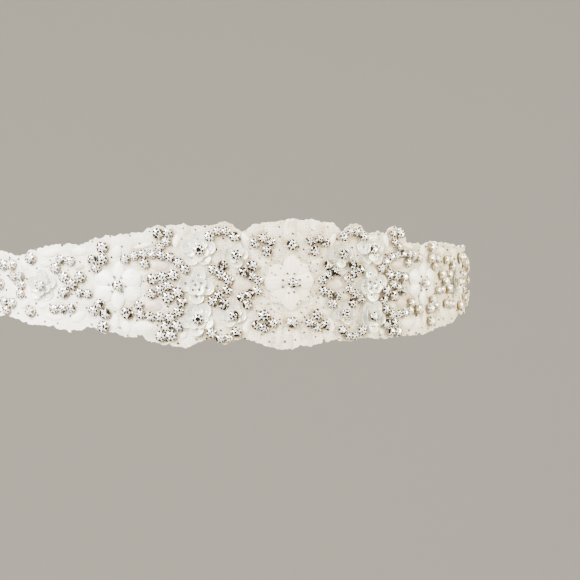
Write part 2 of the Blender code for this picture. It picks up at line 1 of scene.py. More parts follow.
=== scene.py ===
# %% [markdown]
# # A worn bridal sash
#
# A sash of this kind is a satin ribbon belt with an applique sewn on its front. The applique is a
# piece of fine net, trimmed in scallops, that carries organza and satin petals, cupped sequins and
# rhinestones in claw cups. This lesson dresses the plain solids of such a sash, worn round a waist
# and held by its wearer, so it closes behind with two hooks and bars.

# %% The solids to dress
import math
from collections import namedtuple

import bmesh
import bpy
import numpy as np
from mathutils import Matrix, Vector, noise
from mathutils.geometry import delaunay_2d_cdt


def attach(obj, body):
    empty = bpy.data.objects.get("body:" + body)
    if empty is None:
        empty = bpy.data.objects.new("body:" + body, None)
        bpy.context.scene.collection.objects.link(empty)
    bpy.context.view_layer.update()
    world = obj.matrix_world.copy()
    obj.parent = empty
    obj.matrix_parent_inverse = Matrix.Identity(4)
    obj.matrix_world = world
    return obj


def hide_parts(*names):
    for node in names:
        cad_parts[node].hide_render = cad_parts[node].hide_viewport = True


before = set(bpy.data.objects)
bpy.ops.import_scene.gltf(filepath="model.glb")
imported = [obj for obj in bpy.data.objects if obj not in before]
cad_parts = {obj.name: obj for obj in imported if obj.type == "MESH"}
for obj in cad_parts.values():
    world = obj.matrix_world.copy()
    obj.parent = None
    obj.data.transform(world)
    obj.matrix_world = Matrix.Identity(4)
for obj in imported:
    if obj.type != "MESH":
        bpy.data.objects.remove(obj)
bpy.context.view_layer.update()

# %% [markdown]
# ## The camera and a plain studio
#
# The camera stands level with the sash and to its wearer's right, and a long lens keeps the oval
# from looking stretched. The studio is a pale floor that curves up into a wall all round, so no
# edge shows behind the sash from any side. A bowl with one profile, turned, is the simplest way.

# %% The camera
TARGET = Vector((0.0, -0.093, 0.0))
CAMERA_AZIMUTH = math.radians(-23.2)
CAMERA_ELEVATION = math.radians(1.0)
CAMERA_DISTANCE = 0.9
camera_data = bpy.data.cameras.new("camera")
camera_data.lens = 125.05
camera_data.sensor_width = 36.0
camera_data.shift_y = -0.0098
camera = bpy.data.objects.new("camera", camera_data)
bpy.context.scene.collection.objects.link(camera)
towards_camera = Vector((
    math.sin(CAMERA_AZIMUTH) * math.cos(CAMERA_ELEVATION),
    -math.cos(CAMERA_AZIMUTH) * math.cos(CAMERA_ELEVATION),
    math.sin(CAMERA_ELEVATION),
))
camera.location = TARGET + CAMERA_DISTANCE * towards_camera
camera.rotation_euler = (-towards_camera).to_track_quat("-Z", "Y").to_euler()
bpy.context.scene.camera = camera
print("camera at", [round(value, 3) for value in camera.location])

# %% [markdown]
# A few helpers serve every finish below. linear() turns an sRGB hex value, as a maker's colour card
# gives it, into the linear numbers that shading needs. add_node() adds a node with its settings and
# links. clouding() gives colours that drift, and finish_surface() is the step that ends a finish.

# %% Colours and nodes
def linear(hex_colour):
    values = [int(hex_colour[i:i + 2], 16) / 255 for i in (1, 3, 5)]
    return (*[v / 12.92 if v <= 0.04045 else ((v + 0.055) / 1.055) ** 2.4 for v in values], 1.0)


def link(value, socket):
    """Link an output, or a node's first live output, to a socket."""
    if isinstance(value, bpy.types.Node):
        value = next(output for output in value.outputs if output.enabled)
    socket.id_data.links.new(value, socket)


def add_node(tree, kind, sockets=None, stops=(), **settings):
    """A node with its settings, a ramp's colour stops, and a value or a link for each socket."""
    node = tree.nodes.new(kind)
    for name, value in settings.items():
        setattr(node, name, value)
    for name, value in (sockets or {}).items():
        if isinstance(value, (bpy.types.Node, bpy.types.NodeSocket)):
            link(value, node.inputs[name])
        else:
            node.inputs[name].default_value = value
    if stops:
        elements = node.color_ramp.elements
        for _ in stops[2:]:
            elements.new(0.5)
        for element, (position, colour) in zip(elements, stops):
            element.position = position
            element.color = linear(colour)
    return node


def new_finish(name, **shader_values):
    """A material whose shader sockets have these values, with its tree and its shader."""
    material = bpy.data.materials.new(name)
    material.use_nodes = True
    shader = material.node_tree.nodes["Principled BSDF"]
    for socket, value in shader_values.items():
        shader.inputs[socket.replace("_", " ")].default_value = value
    return material, material.node_tree, shader


def clouding(tree, scale, *stops, place=None, detail=2.0):
    """Colours that drift with smooth noise, `scale` to each unit of `place`, or to each metre."""
    place = place or add_node(tree, "ShaderNodeTexCoord").outputs["Object"]
    cloud = add_node(tree, "ShaderNodeTexNoise", {"Vector": place, "Scale": scale, "Detail": detail})
    return add_node(tree, "ShaderNodeValToRGB", {"Fac": cloud}, stops)


def finish_surface(shader, colour, height=None, strength=0.0, distance=0.0, invert=False):
    """Link a finish's colour and, where its surface isn't smooth, a bump `distance` metres deep."""
    link(colour, shader.inputs["Base Color"])
    if height is not None:
        relief = {"Height": height, "Strength": strength, "Distance": distance}
        link(add_node(shader.id_data, "ShaderNodeBump", relief, invert=invert), shader.inputs["Normal"])


# %% The studio
FLOOR_Z = -0.95
COVE_RADIUS = 3.2
COVE_CURVE = 1.2
COVE_HEIGHT = 2.6
CURVE_STEPS = 12
TURN_STEPS = 96
paper = new_finish("studio_paper_matt", Base_Color=linear("#9c9994"), Roughness=0.95)[0]
profile = [(0.0, FLOOR_Z), (COVE_RADIUS - COVE_CURVE, FLOOR_Z)]
for i in range(1, CURVE_STEPS + 1):
    angle = 0.5 * math.pi * i / CURVE_STEPS
    away = COVE_RADIUS - COVE_CURVE + COVE_CURVE * math.sin(angle)
    profile.append((away, FLOOR_Z + COVE_CURVE * (1.0 - math.cos(angle))))
profile.append((COVE_RADIUS, FLOOR_Z + COVE_HEIGHT))
mesh = bmesh.new()
verts = [mesh.verts.new((away, 0.0, z)) for away, z in profile]
edges = [mesh.edges.new(pair) for pair in zip(verts, verts[1:])]
bmesh.ops.spin(
    mesh, geom=verts + edges, cent=(0, 0, 0), axis=(0, 0, 1), angle=math.tau, steps=TURN_STEPS,
    use_merge=True,
)
bmesh.ops.remove_doubles(mesh, verts=mesh.verts, dist=1e-5)
bmesh.ops.recalc_face_normals(mesh, faces=mesh.faces)
bmesh.ops.reverse_faces(mesh, faces=mesh.faces)
cove_data = bpy.data.meshes.new("studio_cove")
mesh.to_mesh(cove_data)
mesh.free()
cove_data.shade_smooth()
cove_data.materials.append(paper)
cove = bpy.data.objects.new("studio_cove", cove_data)
bpy.context.scene.collection.objects.link(cove)
print("studio bowl:", len(cove_data.polygons), "faces")

# %% The lights
Light = namedtuple("Light", "name place size watts colour")
LIGHTS = (
    Light("key", (-1.25, -0.9, 0.8), 1.3, 218.0, "#fffcf4"),
    Light("fill", (1.2, -0.75, 0.3), 0.8, 72.0, "#fff4cf"),
    Light("top", (0.0, 0.15, 1.3), 0.8, 46.0, "#ffffff"),
    Light("back", (0.3, 1.35, 0.75), 0.8, 50.0, "#fdfcff"),
)
for light in LIGHTS:
    data = bpy.data.lights.new(light.name, "AREA")
    data.size = light.size
    data.energy = light.watts
    data.color = linear(light.colour)[:3]
    lamp = bpy.data.objects.new(light.name, data)
    lamp.location = light.place
    lamp.rotation_euler = (-Vector(light.place)).to_track_quat("-Z", "Y").to_euler()
    bpy.context.scene.collection.objects.link(lamp)
world = bpy.data.worlds.new("studio_air")
world.use_nodes = True
air = world.node_tree.nodes["Background"].inputs
air["Color"].default_value = linear("#b9b7b6")
air["Strength"].default_value = 0.35
bpy.context.scene.world = world
print("lights:", [light.name for light in LIGHTS])

# %% [markdown]
# ## The flat layout
#
# A maker pins the applique out flat, so the layout here is flat too: s runs along the belt from the
# centre front, z up from its middle line, and out is the distance outside the net's face, all in
# millimetres. wrap() then bends that layout round the waist, an oval. Tables hold what the maker
# places by eye: the scallops of the cut edge, the strings of stones, the leaves and the flowers.
# The sides are the wearer's, so the left is where s is positive.

# %% Wrapping the layout round the waist
MM = 0.001
SIDES = (("left", 1), ("right", -1))
WAIST_HALF_WIDTH = 128.0
WAIST_HALF_DEPTH = 93.0
TURNS = np.linspace(-1.25 * np.pi, 1.25 * np.pi, 7201)
oval = np.stack([WAIST_HALF_WIDTH * np.sin(TURNS), -WAIST_HALF_DEPTH * np.cos(TURNS)], -1)
LENGTHS = np.concatenate([[0.0], np.cumsum(np.linalg.norm(np.diff(oval, axis=0), axis=1))])
LENGTHS -= np.interp(0.0, TURNS, LENGTHS)
HALF_GIRTH = float(np.interp(np.pi, TURNS, LENGTHS))


def wrap(layout):
    """Layout points, an array whose last axis is s, z and out, to metres in space."""
    layout = np.asarray(layout, float)
    angle = np.interp(layout[..., 0], LENGTHS, TURNS)
    x = WAIST_HALF_WIDTH * np.sin(angle)
    y = -WAIST_HALF_DEPTH * np.cos(angle)
    slope = np.stack([x / WAIST_HALF_WIDTH**2, y / WAIST_HALF_DEPTH**2], -1)
    slope /= np.linalg.norm(slope, axis=-1, keepdims=True)
    out = layout[..., 2]
    return MM * np.stack([x + out * slope[..., 0], y + out * slope[..., 1], layout[..., 1]], -1)


def wrap_direction(layout, direction):
    """The unit vector in space of a small step in the layout at each point."""
    layout = np.asarray(layout, float)
    step = wrap(layout + 0.05 * np.asarray(direction, float)) - wrap(layout)
    return step / np.linalg.norm(step, axis=-1, keepdims=True)


print("waist:", round(2.0 * HALF_GIRTH), "mm round")

# %% The cut edge
# The applique's cut edge as scallops: each runs from where the last one ended to end_s, where the
# edge is `reach` from the middle line, and its middle stands `crown` outside that straight run. The
# edge is trimmed round the beadwork by hand, so the two sides differ.
Scallop = namedtuple("Scallop", "name end_s reach crown", defaults=(0.0,))
TOP_START = 28.4
TOP_END = (
    Scallop("end lobe", 180.0, 9.5, 2.6),
    Scallop("tip", 202.0, 0.0, 3.6),
)
TOP_EDGE = {
    "left": (
        Scallop("centre lobe", 21.5, 27.0, 0.7),
        Scallop("lobe notch", 25.6, 24.2),
        Scallop("spray foot", 27.2, 24.3),
        Scallop("spray", 39.4, 23.4, 3.2),
        Scallop("flower lobe", 51.5, 22.8, 0.1),
        Scallop("column", 64.9, 21.4, 3.9),
        Scallop("column step", 66.2, 18.6),
        Scallop("lace lobe", 80.5, 18.3, -0.2),
        Scallop("rim lobe", 92.0, 18.5, 0.5),
        Scallop("cross lobe", 112.0, 17.3, 0.3),
        Scallop("side lobe", 131.0, 17.2, 0.2),
        Scallop("notch lobe", 150.0, 13.4, 1.0),
        *TOP_END,
    ),
    "right": (
        Scallop("centre lobe", 18.0, 26.6, 0.2),
        Scallop("lobe notch", 23.0, 24.0),
        Scallop("spray", 37.5, 25.4, 2.9),
        Scallop("flower lobe", 64.0, 25.0, 1.2),
        Scallop("column step", 66.5, 22.8),
        Scallop("lace lobe", 82.0, 21.4, 0.3),
        Scallop("cluster lobe", 93.0, 17.8, 0.3),
        Scallop("cross lobe", 128.0, 11.9, 2.2),
        Scallop("notch lobe", 150.0, 13.4, 3.0),
        *TOP_END,
    ),
}
BOTTOM_START = 28.7
BOTTOM_END = (
    Scallop("end lobe", 158.0, 13.4, 1.6),
    Scallop("last lobe", 180.0, 9.5, 2.4),
    Scallop("tip", 202.0, 0.0, 3.6),
)
BOTTOM_EDGE = {
    "left": (
        Scallop("centre lobe", 22.5, 24.9, 0.6),
        Scallop("spray", 37.5, 24.4, 1.4),
        Scallop("flower lobe", 49.0, 24.4, 0.8),
        Scallop("pair lobe", 60.5, 24.2, 1.0),
        Scallop("lace lobe", 79.0, 24.0, 0.1),
        Scallop("cluster lobe", 88.0, 22.2, 0.1),
        Scallop("cross lobe", 106.0, 19.4, 0.2),
        Scallop("side lobe", 117.0, 15.6),
        Scallop("notch lobe", 140.0, 15.0, 0.6),
        *BOTTOM_END,
    ),
    "right": (
        Scallop("centre lobe", 9.0, 28.2, 0.3),
        Scallop("lobe shoulder", 18.0, 24.9),
        Scallop("lower side", 26.0, 24.4),
        Scallop("spray", 36.5, 24.4, 1.7),
        Scallop("flower rise", 42.0, 25.0, -0.3),
        Scallop("flower lobe", 55.0, 25.9, 2.4),
        Scallop("pair lobe", 63.0, 25.2, 0.4),
        Scallop("pair step", 67.0, 22.5),
        Scallop("lace lobe", 77.5, 21.4, 1.0),
        Scallop("cluster lobe", 85.5, 21.0, 0.2),
        Scallop("cluster step", 91.5, 18.5, -0.3),
        Scallop("cross lobe", 107.0, 18.0, 2.0),
        Scallop("notch lobe", 132.5, 13.6, 1.6),
        *BOTTOM_END,
    ),
}
print("scallops:", sum(len(rows) for rows in [*TOP_EDGE.values(), *BOTTOM_EDGE.values()]))

# %% Strings of stones
# Strings of rhinestones on one half of the net; the other half mirrors them. A string of one stone
# stands at its start. bow is how far the middle of a string bends to the left of its run.
Strand = namedtuple("Strand", "name count start_s start_z end_s end_z bow", defaults=(0.0, 0.0, 0.0))
STRANDS = (
    Strand("upper triplet", 3, 9.8, 19.0, 17.2, 18.6, 1.6),
    Strand("upper triplet foot", 1, 11.4, 14.9),
    Strand("lower triplet", 3, 9.0, -17.0, 16.8, -17.8, -1.6),
    Strand("lower triplet head", 1, 12.9, -13.6),
    Strand("inner chevron up", 3, 15.4, 1.8, 22.4, 5.6),
    Strand("inner chevron head", 1, 18.5, 8.4),
    Strand("inner chevron down", 3, 15.8, -2.8, 23.2, -5.6),
    Strand("inner chevron foot", 1, 20.6, -8.9),
    Strand("outer chevron up", 3, 29.0, 2.2, 36.0, 6.6),
    Strand("outer chevron head", 1, 31.6, 8.7),
    Strand("outer chevron down", 3, 29.6, -2.4, 36.4, -7.0, 0.4),
    Strand("outer chevron foot", 1, 31.2, -8.6),
    Strand("upper edge spray", 4, 26.5, 21.2, 37.6, 21.4, 2.7),
    Strand("lower edge spray", 4, 25.6, -20.9, 36.7, -21.3, -2.75),
    Strand("upper column pair", 2, 55.6, 22.9, 60.2, 22.8),
    Strand("upper column", 2, 56.4, 19.1, 59.3, 16.8),
    Strand("upper arc rise", 3, 48.2, 7.0, 54.6, 12.2, 0.4),
    Strand("upper arc crest", 5, 58.6, 13.0, 74.3, 11.6, 1.2),
    Strand("upper arc drop", 1, 65.9, 9.4),
    Strand("heart upper", 3, 53.2, 4.4, 62.6, 2.8),
    Strand("heart lower", 3, 55.6, -0.4, 62.8, -3.8),
    Strand("heart foot", 2, 51.5, -3.2, 55.8, -5.6),
    Strand("lower arc rise", 2, 50.0, -7.6, 51.2, -11.6),
    Strand("lower arc crest", 4, 54.8, -14.2, 67.4, -12.8, -0.5),
    Strand("lower arc drop", 1, 68.3, -8.9),
    Strand("lower arc end", 1, 73.4, -12.4),
    Strand("lower column pair", 2, 51.9, -18.2, 56.6, -18.2),
    Strand("lower edge pair", 2, 54.2, -22.2, 58.8, -22.4),
    Strand("upper rim stone", 1, 84.4, 16.6),
    Strand("upper trio", 2, 84.2, 11.4, 89.0, 11.2),
    Strand("upper trio foot", 1, 87.2, 7.4),
    Strand("lower trio", 2, 83.2, -12.3, 88.6, -11.3),
    Strand("lower trio head", 1, 85.7, -8.2),
    Strand("lower rim stone", 1, 83.7, -18.3),
    Strand("cross", 3, 94.2, 3.6, 102.0, -3.2),
    Strand("cross arm up", 1, 101.6, 3.5),
    Strand("cross arm down", 2, 94.7, -3.5, 90.9, -3.9),
    Strand("side spray up", 2, 99.2, 10.6, 103.4, 11.2),
    Strand("side spray drop", 1, 105.9, 7.4),
    Strand("side spray down", 3, 98.6, -10.2, 106.6, -10.8),
    Strand("rim stones up", 1, 117.9, 11.7),
    Strand("rim stones down", 1, 117.9, -11.7),
    Strand("notch hook", 3, 123.6, 3.6, 123.6, -4.0, -0.4),
    Strand("notch hook tip", 1, 127.6, 3.7),
    Strand("notch pair up", 2, 128.4, 8.8, 133.2, 9.0),
    Strand("notch pair down", 2, 128.2, -8.2, 132.5, -7.4),
    Strand("notch foot", 1, 131.2, -11.3),
    Strand("notch stone", 1, 135.4, 0.3),
    Strand("end arc up", 8, 141.0, 6.2, 174.4, 5.6, 5.0),
    Strand("end arc down", 8, 141.0, -6.2, 174.4, -5.6, -5.0),
    Strand("end tip", 4, 177.6, 0.0, 193.2, 0.0),
)
CENTRE_STONES = (
    Strand("upper centre stone", 1, 0.0, 17.7),
    Strand("lower centre stone", 1, 0.4, -16.8),
)
print("strings of stones:", len(STRANDS))

# %% Leaves
# Padded satin leaves in the net, from root to tip, on one half.
Leaf = namedtuple("Leaf", "name root_s root_z tip_s tip_z width")
LEAVES = (
    Leaf("upper lobe leaf", 19.8, 16.8, 22.4, 22.6, 3.0),
    Leaf("lower lobe leaf", 19.3, -15.4, 21.4, -21.6, 3.2),
    Leaf("chevron heart", 17.8, -0.3, 27.2, -0.3, 5.0),
    Leaf("upper flower leaf", 52.4, 16.2, 51.6, 22.2, 2.8),
    Leaf("lower flower leaf", 47.2, -20.8, 50.0, -23.4, 2.4),
    Leaf("arc heart", 54.8, 8.5, 63.2, 8.3, 4.2),
    Leaf("lower heart", 58.0, -9.4, 65.8, -9.2, 4.4),
    Leaf("upper column leaf", 62.8, 17.9, 70.4, 16.2, 2.0),
    Leaf("lower column leaf", 61.6, -18.2, 70.4, -18.4, 4.6),
    Leaf("lower lace leaf", 74.4, -15.8, 73.2, -21.2, 3.8),
    Leaf("upper lace bud", 77.6, 12.2, 77.5, 17.5, 3.4),
    Leaf("lower lace bud", 78.6, -12.8, 78.8, -19.6, 3.6),
    Leaf("cross heart", 92.4, 8.4, 97.4, 7.2, 2.6),
    Leaf("upper cross leaf", 91.6, 14.5, 98.2, 14.8, 3.6),
    Leaf("lower cross leaf", 92.2, -12.4, 98.4, -16.2, 4.0),
    Leaf("upper spray leaf", 104.4, 14.8, 112.6, 13.0, 3.2),
    Leaf("lower spray leaf", 103.0, -14.8, 111.0, -13.6, 3.2),
    Leaf("upper side leaf", 108.8, 8.8, 114.2, 9.4, 2.8),
    Leaf("lower side leaf", 110.0, -9.4, 115.0, -9.4, 2.6),
    Leaf("upper notch leaf", 119.6, 6.6, 124.0, 10.4, 2.8),
    Leaf("lower notch leaf", 119.6, -6.8, 124.0, -10.6, 2.8),
    Leaf("end leaf", 142.4, 0.0, 150.0, 0.0, 4.2),
)
print("leaves:", len(LEAVES))

# %% Creases
# Creases fan out over the centre lobe, from their inner end to the cut edge, in order along s.
# Between two of them the net swells into a gore.
Crease = namedtuple("Crease", "inner_s inner_z outer_s outer_z")
TOP_CREASES = (
    Crease(-19.0, 15.5, -21.5, 26.0),
    Crease(-12.4, 15.0, -13.2, 27.5),
    Crease(-3.8, 14.5, -3.7, 28.5),
    Crease(2.7, 14.5, 3.0, 28.5),
    Crease(9.0, 15.0, 9.7, 28.0),
    Crease(15.8, 15.5, 16.7, 27.0),
    Crease(20.0, 15.5, 22.0, 26.0),
)
BOTTOM_CREASES = (
    Crease(-17.0, -14.5, -22.0, -25.0),
    Crease(-9.5, -15.0, -15.0, -26.5),
    Crease(-5.8, -15.5, -9.2, -28.5),
    Crease(-2.8, -15.5, -4.5, -28.8),
    Crease(0.7, -15.5, 1.2, -28.8),
    Crease(4.0, -15.5, 6.2, -28.5),
    Crease(8.0, -15.0, 11.6, -27.5),
    Crease(13.0, -15.0, 17.4, -26.0),
    Crease(18.0, -14.5, 23.0, -25.0),
)
print("creases:", len(TOP_CREASES + BOTTOM_CREASES))

# %% Flowers
# Flowers sewn on the net on one half. Each petal points at an angle, 0 outwards along the belt and
# 90 up. side is 1 on the wearer's left and -1 on the right, and solid names what the flower dresses.
Flower = namedtuple("Flower", "name s z angles length side solid", defaults=(1, ""))
LACE_ANGLES = (24, 90, 156, 204, 270, 336)
FLOWERS = (
    Flower("upper_bud", 25.8, 13.2, (10, 95, 175, 262), 5.8),
    Flower("lower_bud", 26.9, -13.5, (8, 98, 180, 304), 5.6),
    Flower("upper_sequin_flower", 42.6, 15.5, (18, 90, 166, 234, 306), 7.2),
    Flower("middle_sequin_flower", 43.3, -0.4, (12, 102, 190, 268), 7.9),
    Flower("lower_sequin_flower", 42.9, -15.0, (345, 273, 201, 129, 57), 7.3),
    Flower("lace_flower", 77.6, -0.2, LACE_ANGLES, 10.6),
    Flower("side_flower", 112.6, -0.3, (18, 90, 162, 234, 306), 7.2),
    Flower("end_flower", 159.6, 0.0, LACE_ANGLES, 8.2),
)
CENTRE_FLOWER = Flower(
    "centre_flower", 0.0, 0.6, tuple(range(0, 360, 45)), 11.8, solid="centre_flower"
)
NO_STONE = ("middle_sequin_flower",)
print("flowers:", len(FLOWERS) + 1)

# %% Reading the tables
OUTLINE_STEP = 0.8


def scalloped_edge(start, scallops, above):
    """One half of a cut edge from s = 0 outwards, as (s, z) points."""
    points = [(0.0, above * start)]
    from_s, from_reach = 0.0, start
    for scallop in scallops:
        run = scallop.end_s - from_s
        steps = max(2, round(run / OUTLINE_STEP))
        for i in range(1, steps + 1):
            share = i / steps
            straight = from_reach + share * (scallop.reach - from_reach)
            bulge = scallop.crown * 4.0 * share * (1.0 - share)
            points.append((from_s + share * run, above * (straight + bulge)))
        from_s, from_reach = scallop.end_s, scallop.reach
    return np.array(points)


def net_outline():
    """The applique's whole cut edge, anticlockwise."""
    mirror = np.array([-1.0, 1.0])
    left_top = scalloped_edge(TOP_START, TOP_EDGE["left"], 1)
    left_bottom = scalloped_edge(BOTTOM_START, BOTTOM_EDGE["left"], -1)
    right_top = mirror * scalloped_edge(TOP_START, TOP_EDGE["right"], 1)
    right_bottom = mirror * scalloped_edge(BOTTOM_START, BOTTOM_EDGE["right"], -1)
    return np.concatenate([left_bottom[:-1], left_top[::-1], right_top[1:-1], right_bottom[:0:-1]])


def strand_points(strand, side=1):
    """Where a string's stones stand and the way it runs there: rows of s, z and angle."""
    run_s, run_z = strand.end_s - strand.start_s, strand.end_z - strand.start_z
    length = math.hypot(run_s, run_z)
    rows = []
    for i in range(strand.count):
        share = i / max(1, strand.count - 1)
        bow = strand.bow * 4.0 * share * (1.0 - share)
        s = strand.start_s + share * run_s - bow * run_z / length
        z = strand.start_z + share * run_z + bow * run_s / length
        heading = math.atan2(run_z, run_s) if strand.count > 1 else 0.3 * s
        rows.append((side * s, z, heading if side > 0 else math.pi - heading))
    return rows


net_stones = [row for strand in CENTRE_STONES for row in strand_points(strand)]
for _, side in SIDES:
    for strand in STRANDS:
        net_stones += strand_points(strand, side)
net_stones = np.array(net_stones)
leaves = []
for _, side in SIDES:
    leaves += [leaf._replace(root_s=side * leaf.root_s, tip_s=side * leaf.tip_s) for leaf in LEAVES]
flowers = [CENTRE_FLOWER]
for label, side in SIDES:
    flowers += [
        flower._replace(s=side * flower.s, side=side, solid=flower.name + "_" + label)
        for flower in FLOWERS
    ]
print("stones on the net:", len(net_stones), "leaves:", len(leaves), "flowers:", len(flowers))

# %% [markdown]
# Worn net never lies dead flat. Its free edges flutter a little where no ribbon backs them, and
# all that is sewn on it rides on that flutter. So one small function gives the flutter everywhere,
# and every later piece adds it to its own height.

# %% The net's flutter
RIBBON_WIDTH = 25.0
FLUTTER = 0.55
FLUTTER_LENGTH = 15.0


def smooth_step(value, start, run):
    """A smooth rise from 0 where the value is `start` to 1 where it is `run` beyond that."""
    share = np.clip((value - start) / run, 0.0, 1.0)
    return share * share * (3.0 - 2.0 * share)


def rough(s, z, length, seed=0.0):
    """Smooth noise from -1 to 1 that changes over about `length` millimetres."""
    points = zip(np.ravel(s) / length, np.ravel(z) / length)
    values = [noise.noise(Vector((a, b, 7.3 * seed))) for a, b in points]
    return np.reshape(values, np.shape(s))


def flutter(s, z):
    """How far the net stands off the waist where it hangs free of the ribbon."""
    free = smooth_step(np.abs(z), 0.5 * RIBBON_WIDTH, 9.0)
    return FLUTTER * free * (0.35 + rough(s, 0.4 * np.asarray(z), FLUTTER_LENGTH, 1.0))


at_top_edge = flutter(np.arange(-100.0, 101.0, 50.0), np.full(5, 24.0))
print("flutter at the top edge, mm:", np.round(at_top_edge, 2))

# %% [markdown]
# ## Building cloth from grids
#
# Petals, leaves and the ribbon are all thin walls on a grid of points. One function takes any
# number of such grids, laid out flat, gives each its thickness and a rim, wraps them round the
# waist and joins them in one mesh. It also keeps each point's place on its own piece, because
# threads and pleats follow the cloth and not the room.

# %% Cloth from grids
def show_piece(name, data, smooth_below=None):
    """An object at the origin for a finished mesh, smooth where its faces meet at a low angle."""
    if smooth_below:
        data.shade_smooth()
        data.set_sharp_from_angle(angle=math.radians(smooth_below))
    piece = bpy.data.objects.new(name, data)
    bpy.context.scene.collection.objects.link(piece)
    print(f"{name}:", sum(len(face.vertices) - 2 for face in data.polygons), "triangles")
    return piece


def add_piece(name, mesh, material, smooth_below=55.0):
    """Put a finished mesh in the scene, its normals outwards."""
    bmesh.ops.remove_doubles(mesh, verts=mesh.verts, dist=1e-7)
    bmesh.ops.dissolve_degenerate(mesh, edges=mesh.edges, dist=1e-7)
    bmesh.ops.recalc_face_normals(mesh, faces=mesh.faces)
    data = bpy.data.meshes.new(name)
    mesh.to_mesh(data)
    mesh.free()
    data.materials.append(material)
    return show_piece(name, data, smooth_below)


def join_rings(mesh, rings, closed=True, capped=False):
    """Faces between each row of points and the next and, if capped, over both ends."""
    for near, far in zip(rings, rings[1:]):
        for i in range(len(near) if closed else len(near) - 1):
            k = (i + 1) % len(near)
            mesh.faces.new((near[i], near[k], far[k], far[i]))
    if capped:
        mesh.faces.new(rings[0])
        mesh.faces.new(rings[-1])


def border(wall):
    """The points round the edge of a grid, in order."""
    start, finish = wall[0], wall[-1]
    return [row[0] for row in wall[:-1]] + finish[:-1] + [row[-1] for row in wall[:0:-1]] + start[:0:-1]


def add_walls(name, grids, thickness, material):
    """Grids of layout points and of pattern points, each made a wall `thickness` deep."""
    mesh = bmesh.new()
    pattern = mesh.verts.layers.float_vector.new("pattern")
    for points, marks in grids:
        walls = []
        for depth, way in ((0.0, 1), (thickness, -1)):
            placed = wrap(points - np.array([0.0, 0.0, depth]))
            wall = [[mesh.verts.new(place) for place in row] for row in placed]
            for row, row_marks in zip(wall, marks):
                for vert, mark in zip(row, row_marks):
                    vert[pattern] = mark
            join_rings(mesh, wall[::way], closed=False)
            walls.append(wall)
        join_rings(mesh, [border(wall) for wall in walls])
    return add_piece(name, mesh, material)


# %% [markdown]
# ## The satin ribbon belt
#
# Double-faced satin ribbon is woven with long floats that run along it, which gives its lengthwise
# gleam, and a firm selvedge on each edge. Its ends are folded under and stitched before the hooks
# go on. A sweep suits it: one line follows the cloth round the waist and through both folds, and
# the ribbon's width is laid across that line.

# %% The ribbon's cloth
RIBBON_FACE = -1.5
CLOTH_THICKNESS = 0.45
HEM = 13.0
OVERLAP = 30.0
LIFT_RAMP = 42.0
LIFT = 4.3
CUPPING = 0.25
FOLD_RADIUS = 0.26
Pucker = namedtuple("Pucker", "s z run_s run_z depth width")
PUCKERS = (
    Pucker(330.0, 7.0, -26.0, -2.0, 0.45, 1.7),
    Pucker(330.0, -6.0, -22.0, 3.5, 0.39, 1.5),
    Pucker(331.0, 1.0, -34.0, 1.5, 0.33, 2.2),
    Pucker(318.0, 10.0, -30.0, -5.0, 0.30, 2.0),
    Pucker(292.0, -3.0, -38.0, 5.0, 0.36, 2.6),
    Pucker(268.0, 5.0, -30.0, -6.0, 0.30, 2.4),
    Pucker(243.0, -7.0, -34.0, 2.0, 0.33, 2.2),
    Pucker(226.0, 8.0, -20.0, -1.0, 0.27, 1.6),
    Pucker(-330.0, 7.5, 24.0, -3.0, 0.42, 1.6),
    Pucker(-331.0, -6.5, 28.0, 2.0, 0.42, 1.7),
    Pucker(-329.0, 0.5, 30.0, -1.0, 0.30, 2.0),
    Pucker(-302.0, -8.0, 36.0, 4.0, 0.33, 2.2),
    Pucker(-286.0, 4.0, 30.0, 3.0, 0.36, 2.6),
    Pucker(-254.0, -2.0, 36.0, -5.0, 0.33, 2.4),
    Pucker(-232.0, 7.0, 24.0, 2.0, 0.27, 1.8),
)


def ribbon_lift(s):
    """How far the ribbon's outer end stands off the end it is hooked to."""
    return LIFT * smooth_step(-s, HALF_GIRTH - 0.5 * OVERLAP - LIFT_RAMP, LIFT_RAMP)


def line_distance(s, z, line):
    """Distance to a straight mark, and how far along it, from 0 to 1."""
    run = line.run_s**2 + line.run_z**2
    share = np.clip(((s - line.s) * line.run_s + (z - line.z) * line.run_z) / run, 0.0, 1.0)
    away = np.hypot(s - line.s - share * line.run_s, z - line.z - share * line.run_z)
    return away, share


def ribbon_dip(s, z):
    """Creases and cupping: how far the worn ribbon lies inside its own flat face."""
    dip = CUPPING * (z / (0.5 * RIBBON_WIDTH)) ** 2
    for pucker in PUCKERS:
        away, share = line_distance(s, z, pucker)
        dip = dip + pucker.depth * np.exp(-((away / pucker.width) ** 2)) * (1.0 - 0.7 * share)
    return dip


# %% Satin as it is woven
FLOAT_PITCH = 0.5
SELVEDGE_FROM, SELVEDGE_TO = 11.5, 11.8
MIX, COLOUR_A, COLOUR_B = 0, 6, 7
satin, tree, shader = new_finish(
    "double_faced_satin_woven", Roughness=0.3, Anisotropic=0.6, Sheen_Weight=0.25, Sheen_Roughness=0.4,
)
